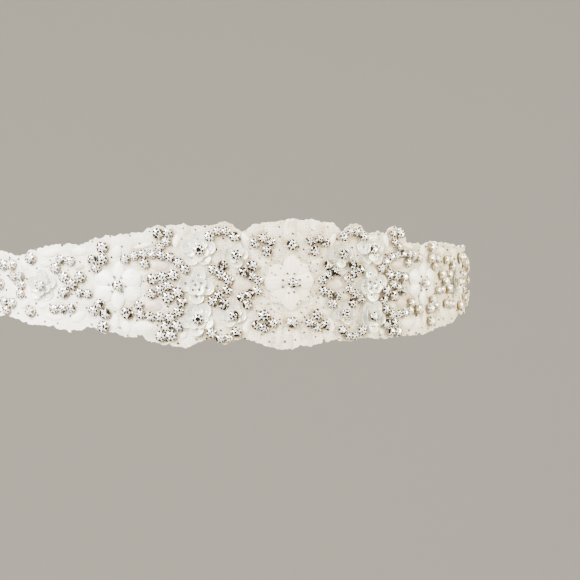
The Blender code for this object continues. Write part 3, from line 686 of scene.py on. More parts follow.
# Woven polyester satin: a warm ivory with a soft gleam along the ribbon. Its streaks along the floats
# are partly the weave and partly painted sheen, and it is duller and darker in the ribbed selvedges.
# The real floats are 0.1 mm apart, too fine to show, and are drawn 0.5 mm apart.
woven = add_node(tree, "ShaderNodeAttribute", attribute_name="pattern").outputs["Vector"]
stretched = add_node(tree, "ShaderNodeMapping", {"Vector": woven, "Scale": (0.05, 1.0 / FLOAT_PITCH, 1.0)})
floats = add_node(tree, "ShaderNodeTexNoise", {"Vector": stretched, "Scale": 1.0, "Detail": 3.0})
cloud = add_node(tree, "ShaderNodeTexNoise", {"Vector": woven, "Scale": 0.035})
# Painted sheen: gleam lightens the ivory in streaks along the floats.
gleam = add_node(tree, "ShaderNodeMath", {0: floats, 1: cloud}, operation="MULTIPLY")
ivory = add_node(
    tree, "ShaderNodeValToRGB", {"Fac": gleam}, ((0.12, "#cdc2af"), (0.28, "#e2d9c9"), (0.45, "#efe8db"))
)
up_ribbon = add_node(tree, "ShaderNodeSeparateXYZ", {"Vector": woven}).outputs["Y"]
from_middle = add_node(tree, "ShaderNodeMath", {0: up_ribbon}, operation="ABSOLUTE")
in_selvedge = add_node(
    tree, "ShaderNodeMapRange", {"Value": from_middle, "From Min": SELVEDGE_FROM, "From Max": SELVEDGE_TO}
)
edged = add_node(
    tree, "ShaderNodeMix", {MIX: in_selvedge, COLOUR_A: ivory, COLOUR_B: linear("#cfc5b3")},
    data_type="RGBA",
)
finish_surface(shader, edged, floats, strength=0.35, distance=0.0001)
print(satin.name, "floats drawn", FLOAT_PITCH, "mm apart")

# %% The line that the ribbon's cloth follows
# Each point says where it is along the belt, how far out, and how far the cloth has turned over.
END = HALF_GIRTH + 0.5 * OVERLAP
FLAT = -0.5 * CLOTH_THICKNESS
UNDER = FLAT - 2.0 * FOLD_RADIUS
FOLD_AT = END - 0.5
FOLD_TURNS = [math.pi * i / 8 for i in range(1, 8)]
middle_line = [(s, UNDER, math.pi) for s in np.arange(HEM - END, 0.3 - END, -2.0)]
for turn in FOLD_TURNS:
    fold_out = FLAT - FOLD_RADIUS * (1.0 + math.cos(turn))
    middle_line.append((-FOLD_AT - FOLD_RADIUS * math.sin(turn), fold_out, math.pi - turn))
middle_line += [(s, FLAT, 0.0) for s in np.linspace(-FOLD_AT, FOLD_AT, 460)]
for turn in FOLD_TURNS:
    fold_out = FLAT - FOLD_RADIUS * (1.0 - math.cos(turn))
    middle_line.append((FOLD_AT + FOLD_RADIUS * math.sin(turn), fold_out, -turn))
middle_line += [(s, UNDER, -math.pi) for s in np.arange(END - 0.3, END - HEM, -2.0)]
print("points along the ribbon:", len(middle_line))

# %% The ribbon
# The selvedges are a quarter thicker than the satin, and round off at the very edge.
across = np.array([-1.0, -0.985, -0.955, -0.92, *np.linspace(-0.84, 0.84, 15), 0.92, 0.955, 0.985, 1.0])
selvedge = np.where(np.abs(across) > 0.93, 1.25, 1.0) * np.where(np.abs(across) > 0.99, 0.45, 1.0)
mesh = bmesh.new()
pattern = mesh.verts.layers.float_vector.new("pattern")
hoops = []
travelled = 0.0
before = middle_line[0]
for s, depth, lean in middle_line:
    travelled += math.hypot(s - before[0], depth - before[1])
    before = (s, depth)
    hoop = []
    for face in (1, -1):
        z = 0.5 * RIBBON_WIDTH * across[::face]
        thick = face * 0.5 * CLOTH_THICKNESS * selvedge[::face]
        out = RIBBON_FACE + ribbon_lift(s) + depth - ribbon_dip(s, z) + thick * math.cos(lean)
        points = np.stack([s - thick * math.sin(lean), z, out], -1)
        for place, mark_z in zip(wrap(points), z):
            vert = mesh.verts.new(place)
            vert[pattern] = (travelled, mark_z, 0.0)
            hoop.append(vert)
    hoops.append(hoop)
join_rings(mesh, hoops)
for hoop in (hoops[0], hoops[-1]):
    half = len(hoop) // 2
    join_rings(mesh, [hoop[:half], hoop[:half - 1:-1]], closed=False)
ribbon = add_piece("satin_ribbon", mesh, satin, 70.0)
print("ribbon cut, mm:", RIBBON_WIDTH, "by", round(travelled))

# %% [markdown]
# ## The net
#
# The ground is ivory net on a fine backing, trimmed by hand round the beadwork, so its edge is a
# little ragged. Sewing pulls it down round each stone and it puffs up between them. A fine mesh of
# triangles over the cut outline takes both: the edge has its own points, and the height of every
# point inside comes from how near it is to what is sewn there.

# %% The net's height
GORE_RISE = 0.6
CREASE_WIDTH = 0.45
REST = 0.3
PUFF = 0.35
STONE_PULL = 0.45


def nearest(s, z, spots):
    """Distance from each point to the nearest of some spots."""
    closest = np.full(np.shape(s), 1e9)
    for spot in spots:
        closest = np.minimum(closest, np.hypot(s - spot[0], z - spot[1]))
    return closest


def leaf_place(s, z, leaf):
    """Where points are in a leaf: along it and across it, each from -1 to 1 at its edge."""
    run_s, run_z = leaf.tip_s - leaf.root_s, leaf.tip_z - leaf.root_z
    length = math.hypot(run_s, run_z)
    away_s = s - 0.5 * (leaf.root_s + leaf.tip_s)
    away_z = z - 0.5 * (leaf.root_z + leaf.tip_z)
    along = 2.0 * (away_s * run_s + away_z * run_z) / length**2
    return along, 2.0 * (away_z * run_s - away_s * run_z) / (length * leaf.width)


def gores(s, z, creases):
    """Between creases the net swells: its share of the swell, and the distance to a crease."""
    inner, outer = creases[0].inner_z, creases[0].outer_z
    lines = []
    for crease in creases:
        share = (z - crease.inner_z) / (crease.outer_z - crease.inner_z)
        lines.append(crease.inner_s + share * (crease.outer_s - crease.inner_s))
    grown = smooth_step(z, inner, 0.5 * (outer - inner))
    swell = np.zeros(np.shape(s))
    for low, high in zip(lines, lines[1:]):
        place = np.clip((s - low) / (high - low), 0.0, 1.0)
        swell = np.maximum(swell, 4.0 * place * (1.0 - place))
    gap = np.min([np.abs(s - line) for line in lines], axis=0)
    return swell * grown, np.where(grown > 0.15, gap, 99.0)


def under_flowers(s, z):
    """How fully each point lies under a flower, where sewing holds the net flat."""
    cover = np.zeros(np.shape(s))
    for flower in flowers:
        away = np.hypot(s - flower.s, z - flower.z)
        cover = np.maximum(cover, 1.0 - smooth_step(away, flower.length, 2.5))
    return cover


def net_face(s, z):
    """How far the net's worn outer face stands outside its flat one."""
    s, z = np.asarray(s, float), np.asarray(z, float)
    away = nearest(s, z, net_stones)
    pull = STONE_PULL * np.exp(-((away / 2.4) ** 2))
    puff = PUFF * smooth_step(away, 2.0, 4.0) * (0.5 + 0.5 * rough(s, z, 6.0, 2.0))
    swell = gores(s, z, TOP_CREASES)[0] + gores(s, z, BOTTOM_CREASES)[0]
    loose = REST + puff - pull + GORE_RISE * swell
    return flutter(s, z) + loose * (1.0 - 0.9 * under_flowers(s, z)) + 0.05 * rough(s, z, 1.7, 3.0)


sample = net_face(np.linspace(-60.0, 60.0, 200), np.zeros(200))
print("net face along the middle, mm:", round(sample.min(), 2), "to", round(sample.max(), 2))

# %% Tulle as it is knitted
MESH_PITCH = 1.15
net_finish, tree, shader = new_finish(
    "tulle_net_knitted", Roughness=0.72, Sheen_Weight=0.35, Sheen_Roughness=0.5
)
# Knitted nylon net on organza: cream, matt and slightly fuzzy. Its real holes are 0.6 mm across,
# and are drawn about twice as coarse so that they show, with painted shade in them. Near the
# stones the cloth is tan, partly where their brass cups and the thread show through it and partly
# as painted shade, and the creases and the gaps between the centre petals get painted shade too.
# Towards the wearer's right it is painted paler, as painted light.
knitted = add_node(tree, "ShaderNodeAttribute", attribute_name="pattern").outputs["Vector"]
warmth = add_node(tree, "ShaderNodeAttribute", attribute_name="warmth").outputs["Fac"]
cells = add_node(
    tree, "ShaderNodeTexVoronoi", {"Vector": knitted, "Scale": 1.0 / MESH_PITCH, "Randomness": 0.32},
    feature="DISTANCE_TO_EDGE", voronoi_dimensions="2D",
)
threads = add_node(
    tree, "ShaderNodeMapRange", {"Value": cells.outputs["Distance"], "From Min": 0.04, "From Max": 0.26}
)
ground = clouding(
    tree, 0.16, (0.34, "#c9c3b0"), (0.48, "#dfdacd"), (0.62, "#f2efe8"), place=knitted, detail=4.0
)
# Painted shade: the holes between the threads are painted darker.
holes = add_node(
    tree, "ShaderNodeMix", {MIX: threads, COLOUR_A: linear("#ffffff"), COLOUR_B: linear("#dad4c6")},
    data_type="RGBA",
)
flecks = add_node(tree, "ShaderNodeTexNoise", {"Vector": knitted, "Scale": 1.3, "Detail": 3.0})
fleck_colours = add_node(
    tree, "ShaderNodeValToRGB", {"Fac": flecks}, ((0.34, "#a39374"), (0.45, "#e8e3d8"), (0.53, "#ffffff"))
)
along_net = add_node(tree, "ShaderNodeSeparateXYZ", {"Vector": knitted}).outputs["X"]
# Painted light: the net is painted paler towards the wearer's right.
painted_light_to_right = add_node(
    tree, "ShaderNodeMapRange",
    {"Value": along_net, "From Min": -45.0, "From Max": -120.0, "To Max": 0.6},
)
grain = add_node(
    tree, "ShaderNodeMapRange",
    {"Value": flecks, "From Min": 0.62, "From Max": 0.38, "To Min": 0.15, "To Max": 1.5},
)
shade_and_tan_share = add_node(tree, "ShaderNodeMath", {0: warmth, 1: grain}, operation="MULTIPLY", use_clamp=True)
colour = ground
# The last two mixes are painted light towards the wearer's right, then tan and painted shade.
for share, over, blend in (
    (0.5, holes, "MULTIPLY"),
    (0.55, fleck_colours, "MULTIPLY"),
    (painted_light_to_right, linear("#fdfbf6"), "MIX"),
    (shade_and_tan_share, linear("#927c50"), "MIX"),
):
    colour = add_node(
        tree, "ShaderNodeMix", {MIX: share, COLOUR_A: colour, COLOUR_B: over},
        data_type="RGBA", blend_type=blend,
    )
finish_surface(shader, colour, threads, strength=0.4, distance=0.00012, invert=True)
print(net_finish.name, "holes drawn", MESH_PITCH, "mm apart")

# %% The cut edge, and points inside it
RAGGED = 1.1
FIELD_LENGTH, FIELD_HEIGHT = 203.0, 30.0
outline = net_outline()
following = np.roll(outline, -1, axis=0) - np.roll(outline, 1, axis=0)
outward = np.stack([following[:, 1], -following[:, 0]], -1)
outward /= np.linalg.norm(outward, axis=1, keepdims=True)
ragged = RAGGED * (rough(*outline.T, 1.9, 4.0) + 0.8 * rough(*outline.T, 5.0, 5.0))
outline = outline + outward * ragged[:, None]


def inside_net(s, z):
    """Whether points lie inside the cut edge, by counting the edge's crossings."""
    inside = np.zeros(np.shape(s), bool)
    for (s0, z0), (s1, z1) in zip(outline, np.roll(outline, -1, axis=0)):
        if z1 != z0:
            inside ^= ((z0 > z) != (z1 > z)) & (s < s0 + (z - z0) * (s1 - s0) / (z1 - z0))
    return inside


def inside_points(step, seed):
    """A jittered grid of points that lie well inside the cut edge."""
    points = []
    for row, z in enumerate(np.arange(-FIELD_HEIGHT, FIELD_HEIGHT, 0.87 * step)):
        points += [(s, z) for s in np.arange(-FIELD_LENGTH, FIELD_LENGTH, step) + 0.5 * step * (row % 2)]
    points = np.array(points)
    points += np.random.default_rng(seed).uniform(-0.12, 0.12, points.shape) * step
    return points[inside_net(*points.T) & (nearest(*points.T, outline) > 0.6 * step)]


def crease_points():
    """Points along every crease, so that the mesh can follow it."""
    points = []
    for crease in TOP_CREASES + BOTTOM_CREASES:
        for share in np.arange(0.12, 0.98, 0.055):
            s = crease.inner_s + share * (crease.outer_s - crease.inner_s)
            z = crease.inner_z + share * (crease.outer_z - crease.inner_z)
            if nearest(s, z, outline) > 1.2:
                points.append((s, z))
    return np.array(points)


def triangulate(edge, points):
    """Triangles over a closed edge and the points inside it, the edge's points first."""
    flat = [Vector(point) for point in np.concatenate([edge, points])]
    borders = [(i, (i + 1) % len(edge)) for i in range(len(edge))]
    _, _, faces, origins, _, _ = delaunay_2d_cdt(flat, borders, [], 1, 1e-5)
    order = {new: index for new, old in enumerate(origins) for index in old}
    return [tuple(order[i] for i in face) for face in faces]


# %% How tan and shaded the net is, and where its inner face lies
EDGE_THICKNESS = 0.4
BACKED_THICKNESS = 1.15
CUP_EDGE = 1.9


def tan_and_painted_shade(s, z, away):
    """Tan and painted shade on the net: round the cups, in the creases and between the centre petals.

    Round the cups the tan and shade fade towards the sash's sides, more so on the wearer's right.
    """
    # Round the cups this is partly brass and thread showing through, and partly painted shade.
    tan = np.exp(-(np.maximum(away - CUP_EDGE, 0.0) / 2.0) ** 2) * (0.6 + 0.8 * rough(s, z, 5.0, 6.0))
    tan *= 0.95 - 0.6 * smooth_step(-s, 75.0, 40.0) - 0.4 * smooth_step(s, 60.0, 30.0)
    # The creases and the gaps between the centre petals get painted shade.
    for creases in (TOP_CREASES, BOTTOM_CREASES):
        tan += 0.5 * np.exp(-((gores(s, z, creases)[1] / CREASE_WIDTH) ** 2))
    up = z - CENTRE_FLOWER.z
    between_petals = np.sin(2.0 * np.arctan2(up, s)) ** 2
    return tan + 0.4 * between_petals * np.exp(-(((np.hypot(s, up) - 12.0) / 3.5) ** 2))


def lining_face(s, z, away):
    """The net's inner face, which steps in where the ribbon's 25 mm back it."""
    backed = 1.0 - smooth_step(np.abs(z), 0.5 * RIBBON_WIDTH, 3.0)
    worn = flutter(s, z) + REST - EDGE_THICKNESS - STONE_PULL * np.exp(-((away / 3.0) ** 2))
    return worn + backed * (-BACKED_THICKNESS - worn)


lining_sample = lining_face(np.zeros(2), np.array([0.0, 25.0]), np.full(2, 9.0))
print("lining at the middle and at the edge, mm:", np.round(lining_sample, 2))

# %% The net applique
# Its outer face has a fine grid and its lining a coarser one, over the same cut edge.
GRID = 1.15
LINING_GRID = 1.6
LINING_TAN_AND_SHADE = 0.35
mesh = bmesh.new()
pattern = mesh.verts.layers.float_vector.new("pattern")
warmth = mesh.verts.layers.float.new("warmth")
edge_rings = []
for outer_side, step, seed in ((True, GRID, 1), (False, LINING_GRID, 2)):
    inner_points = inside_points(step, seed)
    if outer_side:
        inner_points = np.concatenate([inner_points, crease_points()])
    s, z = np.concatenate([outline, inner_points]).T
    away = nearest(s, z, net_stones)
    out = net_face(s, z) if outer_side else lining_face(s, z, away)
    # `tan` holds the tan and the painted shade; the lining takes a weaker share of both.
    tan = np.clip(tan_and_painted_shade(s, z, away) * (1.0 if outer_side else LINING_TAN_AND_SHADE), 0.0, 1.0)
    verts = [mesh.verts.new(place) for place in wrap(np.stack([s, z, out], -1))]
    for vert, mark_s, mark_z, mark_tan_and_shade in zip(verts, s, z, tan):
        vert[pattern] = (mark_s, mark_z, 0.0)
        vert[warmth] = mark_tan_and_shade
    for corners in triangulate(outline, inner_points):
        mesh.faces.new([verts[i] for i in corners])
    edge_rings.append(verts[:len(outline)])
join_rings(mesh, edge_rings[::-1])
bmesh.ops.delete(mesh, geom=[vert for vert in mesh.verts if not vert.link_faces], context="VERTS")
net = add_piece("net_ground", mesh, net_finish, 60.0)

# %% [markdown]
# ## Padded satin leaves
#
# Satin stitch lies side by side across a leaf, over a soft core, so a leaf is a low dome with a
# silky rib across it. The hearts inside the chevrons are smooth blush satin without ribs. Both are
# domes on a small grid, whose width and height close to nothing at their two ends.

# %% Thread and blush satin
STITCH_PITCH = 0.55
satin_stitch, tree, shader = new_finish(
    "satin_stitch_rayon", Roughness=0.38, Sheen_Weight=0.3, Sheen_Roughness=0.35, Anisotropic=0.4
)
# Rayon embroidery thread laid flat: bright ivory, each thread painted lighter along its crown as a
# silky band of painted light. The real threads are 0.3 mm wide, and are drawn 0.55 mm apart so that
# they show.
on_leaf = add_node(tree, "ShaderNodeAttribute", attribute_name="pattern").outputs["Vector"]
laid = add_node(
    tree, "ShaderNodeTexWave",
    {"Vector": on_leaf, "Scale": math.tau / 20.0 / STITCH_PITCH, "Distortion": 0.6, "Detail": 1.0},
    bands_direction="X",
).outputs["Fac"]
painted_thread_sheen = add_node(
    tree, "ShaderNodeValToRGB", {"Fac": laid}, ((0.0, "#e8e0d4"), (0.5, "#f3eee5"), (1.0, "#faf7f0"))
)
finish_surface(shader, painted_thread_sheen, laid, strength=0.6, distance=0.00012)
blush, tree, shader = new_finish(
    "blush_satin_padded", Roughness=0.4, Sheen_Weight=0.3, Sheen_Roughness=0.4
)
# Fine satin stretched over a pad: a pinkish cream, smooth, with a faint clouding.
on_leaf = add_node(tree, "ShaderNodeAttribute", attribute_name="pattern").outputs["Vector"]
pink = clouding(
    tree, 0.5, (0.3, "#b8a79a"), (0.5, "#c4b4a8"), (0.7, "#cfc1b6"), place=on_leaf, detail=3.0
)
finish_surface(shader, pink)
print("leaf threads drawn", STITCH_PITCH, "mm apart")

# %% The leaves
LEAF_HEIGHT = 0.5
LEAF_THICKNESS = 0.5
LEAF_ROWS = 15
LEAF_COLUMNS = 9
BLUSH_LEAVES = ("chevron heart", "arc heart", "lower heart", "cross heart", "end leaf")


def leaf_grid(leaf):
    """A leaf's dome on the net as layout points, and its place in its own millimetres."""
    run_s, run_z = leaf.tip_s - leaf.root_s, leaf.tip_z - leaf.root_z
    length = math.hypot(run_s, run_z)
    # Rows crowd towards the root and the tip, where the dome closes.
    rows = 0.985 * np.sin(np.linspace(-1.4, 1.4, LEAF_ROWS)) / math.sin(1.4)
    along, over = np.meshgrid(rows, np.linspace(-1.0, 1.0, LEAF_COLUMNS), indexing="ij")
    u = 0.5 * length * along
    v = 0.56 * leaf.width * (1.0 - along**2) ** 0.62 * over
    s = 0.5 * (leaf.root_s + leaf.tip_s) + (u * run_s - v * run_z) / length
    z = 0.5 * (leaf.root_z + leaf.tip_z) + (u * run_z + v * run_s) / length
    dome = LEAF_HEIGHT * (1.0 - along**2) ** 0.5 * (1.0 - over**2) ** 0.55
    return np.stack([s, z, net_face(s, z) + 0.03 + dome], -1), np.stack([u, v, 0.0 * u], -1)


ribbed = [leaf_grid(leaf) for leaf in leaves if leaf.name not in BLUSH_LEAVES]
smooth = [leaf_grid(leaf) for leaf in leaves if leaf.name in BLUSH_LEAVES]
stitched_leaves = add_walls("stitched_leaves", ribbed, LEAF_THICKNESS, satin_stitch)
blush_leaves = add_walls("blush_hearts", smooth, LEAF_THICKNESS, blush)

# %% [markdown]
# ## Petals
#
# The centre flower's petals are pleated organza: stiff, sheer and finely ribbed from root to tip.
# The lace flowers' are satin, plumper and plain. A petal is a strip that widens and narrows again
# along its length, arches over its middle and dips at its tip. Every second petal lies a little
# lower, so that neighbours lap as they do on the real flower. A round petal is an oval with a blunt
# tip, and a pointed one is widest past its middle.

# %% Organza and petal satin
organza, tree, shader = new_finish(
    "organza_pleated", Roughness=0.42, Sheen_Weight=0.4, Sheen_Roughness=0.3, Coat_Weight=0.1
)
# Crisp organza: near white with a light glassy sheen, and painted shade, darker and warmer, where
# the petal is less lit, as in its pleats.
on_petal = add_node(tree, "ShaderNodeAttribute", attribute_name="pattern").outputs["Vector"]
lit = add_node(tree, "ShaderNodeSeparateXYZ", {"Vector": on_petal}).outputs["Z"]
pleated = add_node(
    tree, "ShaderNodeValToRGB", {"Fac": lit}, ((0.0, "#cfc3b2"), (0.35, "#e0d7ca"), (0.8, "#ebe5da"))
)
grain = add_node(tree, "ShaderNodeTexNoise", {"Vector": on_petal, "Scale": 6.0})
finish_surface(shader, pleated, grain, strength=0.25, distance=0.0001)
petal_satin, tree, shader = new_finish(
    "petal_satin_pressed", Roughness=0.36, Sheen_Weight=0.3, Sheen_Roughness=0.3, Coat_Weight=0.15
)
# Pressed polyester satin: the whitest cloth of the sash, with painted shade, a little darker and
# warmer, where the petal is less lit, as at its root, and faint streaks along the petal where the
# press has stretched it.
on_petal = add_node(tree, "ShaderNodeAttribute", attribute_name="pattern").outputs["Vector"]
lit = add_node(tree, "ShaderNodeSeparateXYZ", {"Vector": on_petal}).outputs["Z"]
white = add_node(
    tree, "ShaderNodeValToRGB", {"Fac": lit}, ((0.1, "#e6dfd4"), (0.5, "#f1eee7"), (0.8, "#f9f7f3"))
)
drawn_out = add_node(tree, "ShaderNodeVectorMath", {0: on_petal, 1: (0.3, 1.5, 0.0)}, operation="MULTIPLY")
streaks = add_node(tree, "ShaderNodeTexNoise", {"Vector": drawn_out, "Scale": 1.0, "Detail": 3.0})
streak_colours = add_node(
    tree, "ShaderNodeValToRGB", {"Fac": streaks}, ((0.36, "#cfc8bb"), (0.5, "#ffffff"))
)
streaked = add_node(
    tree, "ShaderNodeMix", {MIX: 0.6, COLOUR_A: white, COLOUR_B: streak_colours},
    data_type="RGBA", blend_type="MULTIPLY",
)
finish_surface(shader, streaked, streaks, strength=0.5, distance=0.0004)
print("petal finishes:", organza.name, petal_satin.name)

# %% Petal shapes
PetalCut = namedtuple(
    "PetalCut", "length width root arch blunt pleats pleat_depth deep", defaults=(0, 0.0, 0.0)
)
CENTRE_CUTS = (
    PetalCut(13.0, 9.2, 1.3, 0.9, 0.6, 4, 0.05),
    PetalCut(12.2, 8.6, 1.3, 0.8, 0.5, 4, 0.05, 0.1),
)
BROAD_PETAL = PetalCut(11.3, 7.8, 1.2, 1.1, 0.7)
LACE_CUTS = (BROAD_PETAL, PetalCut(10.8, 5.2, 1.2, 1.0, 0.6), BROAD_PETAL)
END_CUTS = tuple(cut._replace(length=0.78 * cut.length, width=0.78 * cut.width) for cut in LACE_CUTS)
PETAL_ROWS = 22
PETAL_COLUMNS = 19
PETAL_THICKNESS = 0.16
PETAL_LAP = 0.24
ROOT_RISE = 0.12
FLOWER_FOOT = 0.2


def petal_grid(cut, s, z, angle, lift):
    """A petal that points at `angle` from a flower's middle at (s, z).

    t runs from its root to its tip, v across it. The marks are where each point is along and across
    the petal, and how well lit it is: less so in the pleats, at the edges and at both ends.
    """
    lengthwise, widthwise = np.linspace(0.0, 1.0, PETAL_ROWS), np.linspace(-1.0, 1.0, PETAL_COLUMNS)
    t, v = np.meshgrid(lengthwise, widthwise, indexing="ij")
    pointed = np.maximum(np.sin(math.pi * (0.06 + 0.93 * t**1.25)), 0.03) ** 0.75
    oval = np.maximum(1.0 - np.abs(2.0 * t - 1.0) ** 2.5, 0.002) ** 0.45
    oval *= 0.62 + 0.38 * smooth_step(t, 0.0, 1.0 / 2.2)
    along = cut.root + (cut.length - cut.root) * (t - 0.05 * t**3 * v**2)
    aside = 0.5 * cut.width * (pointed + cut.blunt * (oval - pointed)) * v
    s = s + along * math.cos(angle) - aside * math.sin(angle)
    z = z + along * math.sin(angle) + aside * math.cos(angle)
    arch = cut.arch * np.sin(math.pi * np.clip(0.12 + 0.8 * t, 0.0, 1.0)) ** 0.8
    crown = 1.0 - 0.85 * v**2
    pleats = np.cos(math.pi * cut.pleats * v)
    ribs = cut.pleat_depth * pleats * np.sin(math.pi * (0.1 + 0.85 * t))
    out = FLOWER_FOOT * (1.0 - t**6) + ROOT_RISE * (1.0 - t) + arch * crown + ribs + lift + flutter(s, z)
    ends = 0.35 * np.exp(-8.0 * t) + 0.4 * t**5
    # Painted shade: `deep` makes the lower-lying petals less lit.
    lit = 0.65 + 0.25 * pleats - 0.3 * (1.0 - crown) - ends - cut.deep
    return np.stack([s, z, out], -1), np.stack([along, aside, np.clip(lit, 0.0, 1.0)], -1)


def heading_on_side(flower, degrees):
    """A petal's angle in radians, mirrored for a flower on the wearer's right."""
    return math.radians(degrees if flower.side > 0 else 180.0 - degrees)


def flower_petals(flower, cuts):
    """A flower's petals, each a little different, as hand-made ones are."""
    draw = np.random.default_rng(int(abs(flower.s)) + 2 + flower.side)
    grids = []
    for i, degrees in enumerate(flower.angles):
        angle = heading_on_side(flower, degrees) + draw.normal(0.0, 0.05)
        cut = cuts[i % len(cuts)]
        longer, wider = draw.normal(1.0, (0.03, 0.07))
        cut = cut._replace(length=cut.length * longer, width=cut.width * wider)
        grids.append(petal_grid(cut, flower.s, flower.z, angle, PETAL_LAP * ((i + 1) % 2)))
    return grids


# %% The petals
SATIN_CUTS = {"lace_flower": LACE_CUTS, "end_flower": END_CUTS}
centre_petals = add_walls(
    "centre_petals", flower_petals(CENTRE_FLOWER, CENTRE_CUTS), PETAL_THICKNESS, organza
)
lace_grids = []
for flower in flowers:
    if flower.name in SATIN_CUTS:
        lace_grids += flower_petals(flower, SATIN_CUTS[flower.name])
lace_petals = add_walls("lace_petals", lace_grids, PETAL_THICKNESS, petal_satin)

# %% [markdown]
# ## Setting small things with Geometry Nodes
#
# Stones, cups, sequins, beads and stitches are each one small pattern set down many times. A node
# tree does that: it takes a cloud of points that carry the way out of the cloth and the way along
# it, turns a copy of the pattern to both, scales it, and realizes the copies. The result is then
# turned into a plain mesh, so that the sash holds nothing but meshes.

# %% A tree that sets a pattern on points
def setting_tree():
    tree = bpy.data.node_groups.new("set_pattern_on_points", "GeometryNodeTree")
    tree.is_modifier = True
    for label, kind in (
        ("Geometry", "Geometry"), ("Pattern", "Object"), ("Scale", "Float"), ("Wobble", "Float"),
        ("Seed", "Int"), ("Finish", "Material"),
    ):
        tree.interface.new_socket(label, in_out="INPUT", socket_type="NodeSocket" + kind)
    tree.interface.new_socket("Geometry", in_out="OUTPUT", socket_type="NodeSocketGeometry")
    given = add_node(tree, "NodeGroupInput").outputs
    outward, onward, size = [
        add_node(tree, "GeometryNodeInputNamedAttribute", {"Name": label}, data_type=kind)
        for label, kind in (("outward", "FLOAT_VECTOR"), ("onward", "FLOAT_VECTOR"), ("size", "FLOAT"))
    ]
    upright = add_node(tree, "FunctionNodeAlignRotationToVector", {"Vector": outward}, axis="Z")
    aligned = add_node(
        tree, "FunctionNodeAlignRotationToVector", {"Rotation": upright, "Vector": onward},
        axis="X", pivot_axis="Z",
    )
    reach = add_node(tree, "ShaderNodeMath", {0: given["Wobble"], 1: -1.0}, operation="MULTIPLY")
    lean = add_node(
        tree, "FunctionNodeRandomValue",
        {"Min": reach, "Max": given["Wobble"], "Seed": given["Seed"]}, data_type="FLOAT_VECTOR",
    )
    wobbled = add_node(
        tree, "FunctionNodeRotateRotation", {"Rotation": aligned, "Rotate By": lean},
        rotation_space="LOCAL",
    )
    scale = add_node(tree, "ShaderNodeMath", {0: given["Scale"], 1: size}, operation="MULTIPLY")
    pattern_object = add_node(tree, "GeometryNodeObjectInfo", {"Object": given["Pattern"]})
    copies = add_node(
        tree, "GeometryNodeInstanceOnPoints",
        {
            "Points": given["Geometry"], "Instance": pattern_object.outputs["Geometry"],
            "Rotation": wobbled, "Scale": scale,
        },
    )
    real = add_node(tree, "GeometryNodeRealizeInstances", {"Geometry": copies})
    finished = add_node(tree, "GeometryNodeSetMaterial", {"Geometry": real, "Material": given["Finish"]})
    add_node(tree, "NodeGroupOutput", {"Geometry": finished})
    return tree


SETTING = setting_tree()
INPUTS = {item.name: item.identifier for item in SETTING.interface.items_tree if item.in_out == "INPUT"}
print("inputs of the setting tree:", ", ".join(INPUTS))

# %% Points for the tree, and a plain mesh from it
Place = namedtuple("Place", "point outward onward size")


def place_on_cloth(s, z, out, heading=0.0, size=1.0, tilt=(0.0, 0.0)):
    """One place for a pattern: tilt leans the way out towards s and z, in radians."""
    point = np.array([s, z, float(out)])
    outward = wrap_direction(point, (math.tan(tilt[0]), math.tan(tilt[1]), 1.0))
    onward = wrap_direction(point, (math.cos(heading), math.sin(heading), 0.0))
    return Place(wrap(point), outward, onward, size)


def plain_mesh(holder):
    """The mesh that an object's modifiers or bevel make. The object itself goes."""
    bpy.context.scene.collection.objects.link(holder)
    graph = bpy.context.evaluated_depsgraph_get()
    data = bpy.data.meshes.new_from_object(holder.evaluated_get(graph))
    bpy.data.objects.remove(holder)
    return data


def set_pattern(name, pattern_object, places, material, wobble=0.0, seed=1, smooth_below=None):
    """Copies of a pattern, one at each place."""
    cloud = bpy.data.meshes.new(name + "_points")
    cloud.from_pydata([tuple(place.point) for place in places], [], [])
    for label, kind, field in (
        ("outward", "FLOAT_VECTOR", "vector"),
        ("onward", "FLOAT_VECTOR", "vector"),
        ("size", "FLOAT", "value"),
    ):
        values = np.array([getattr(place, label) for place in places], np.float32).ravel()
        cloud.attributes.new(label, kind, "POINT").data.foreach_set(field, values)
    holder = bpy.data.objects.new(name + "_points", cloud)
    setting = holder.modifiers.new("setting", "NODES")
    setting.node_group = SETTING
    for label, value in (
        ("Pattern", pattern_object), ("Scale", MM), ("Wobble", wobble), ("Seed", seed),
        ("Finish", material),
    ):
        setting[INPUTS[label]] = value
    data = plain_mesh(holder)
    data.name = name
    print(name, "set:", len(places))
    return show_piece(name, data, smooth_below)


def make_pattern(name, mesh):
    """A small mesh in millimetres that the tree copies. It isn't part of the sash itself."""
    bmesh.ops.recalc_face_normals(mesh, faces=mesh.faces)
    data = bpy.data.meshes.new(name)
    mesh.to_mesh(data)
    mesh.free()
    return bpy.data.objects.new(name, data)


# %% [markdown]
# ## Rhinestones in claw cups
#
# A sew-on rhinestone is cut glass with foil behind it. From the front most of it flashes white, and
# a ring of small facets near its edge, with a few in its table, looks black. It is held in a
# stamped brass cup, plated silver, whose four claws bend over its edge. Both are made once: the
# stone as rings of points with facets between them, the cup as a short tube with claws. The white
# flashes and black facets are painted into each facet's colour, as painted glints and painted shade.

# %% Cut glass and plated brass
glass, tree, shader = new_finish("rhinestone_cut_glass_foiled")
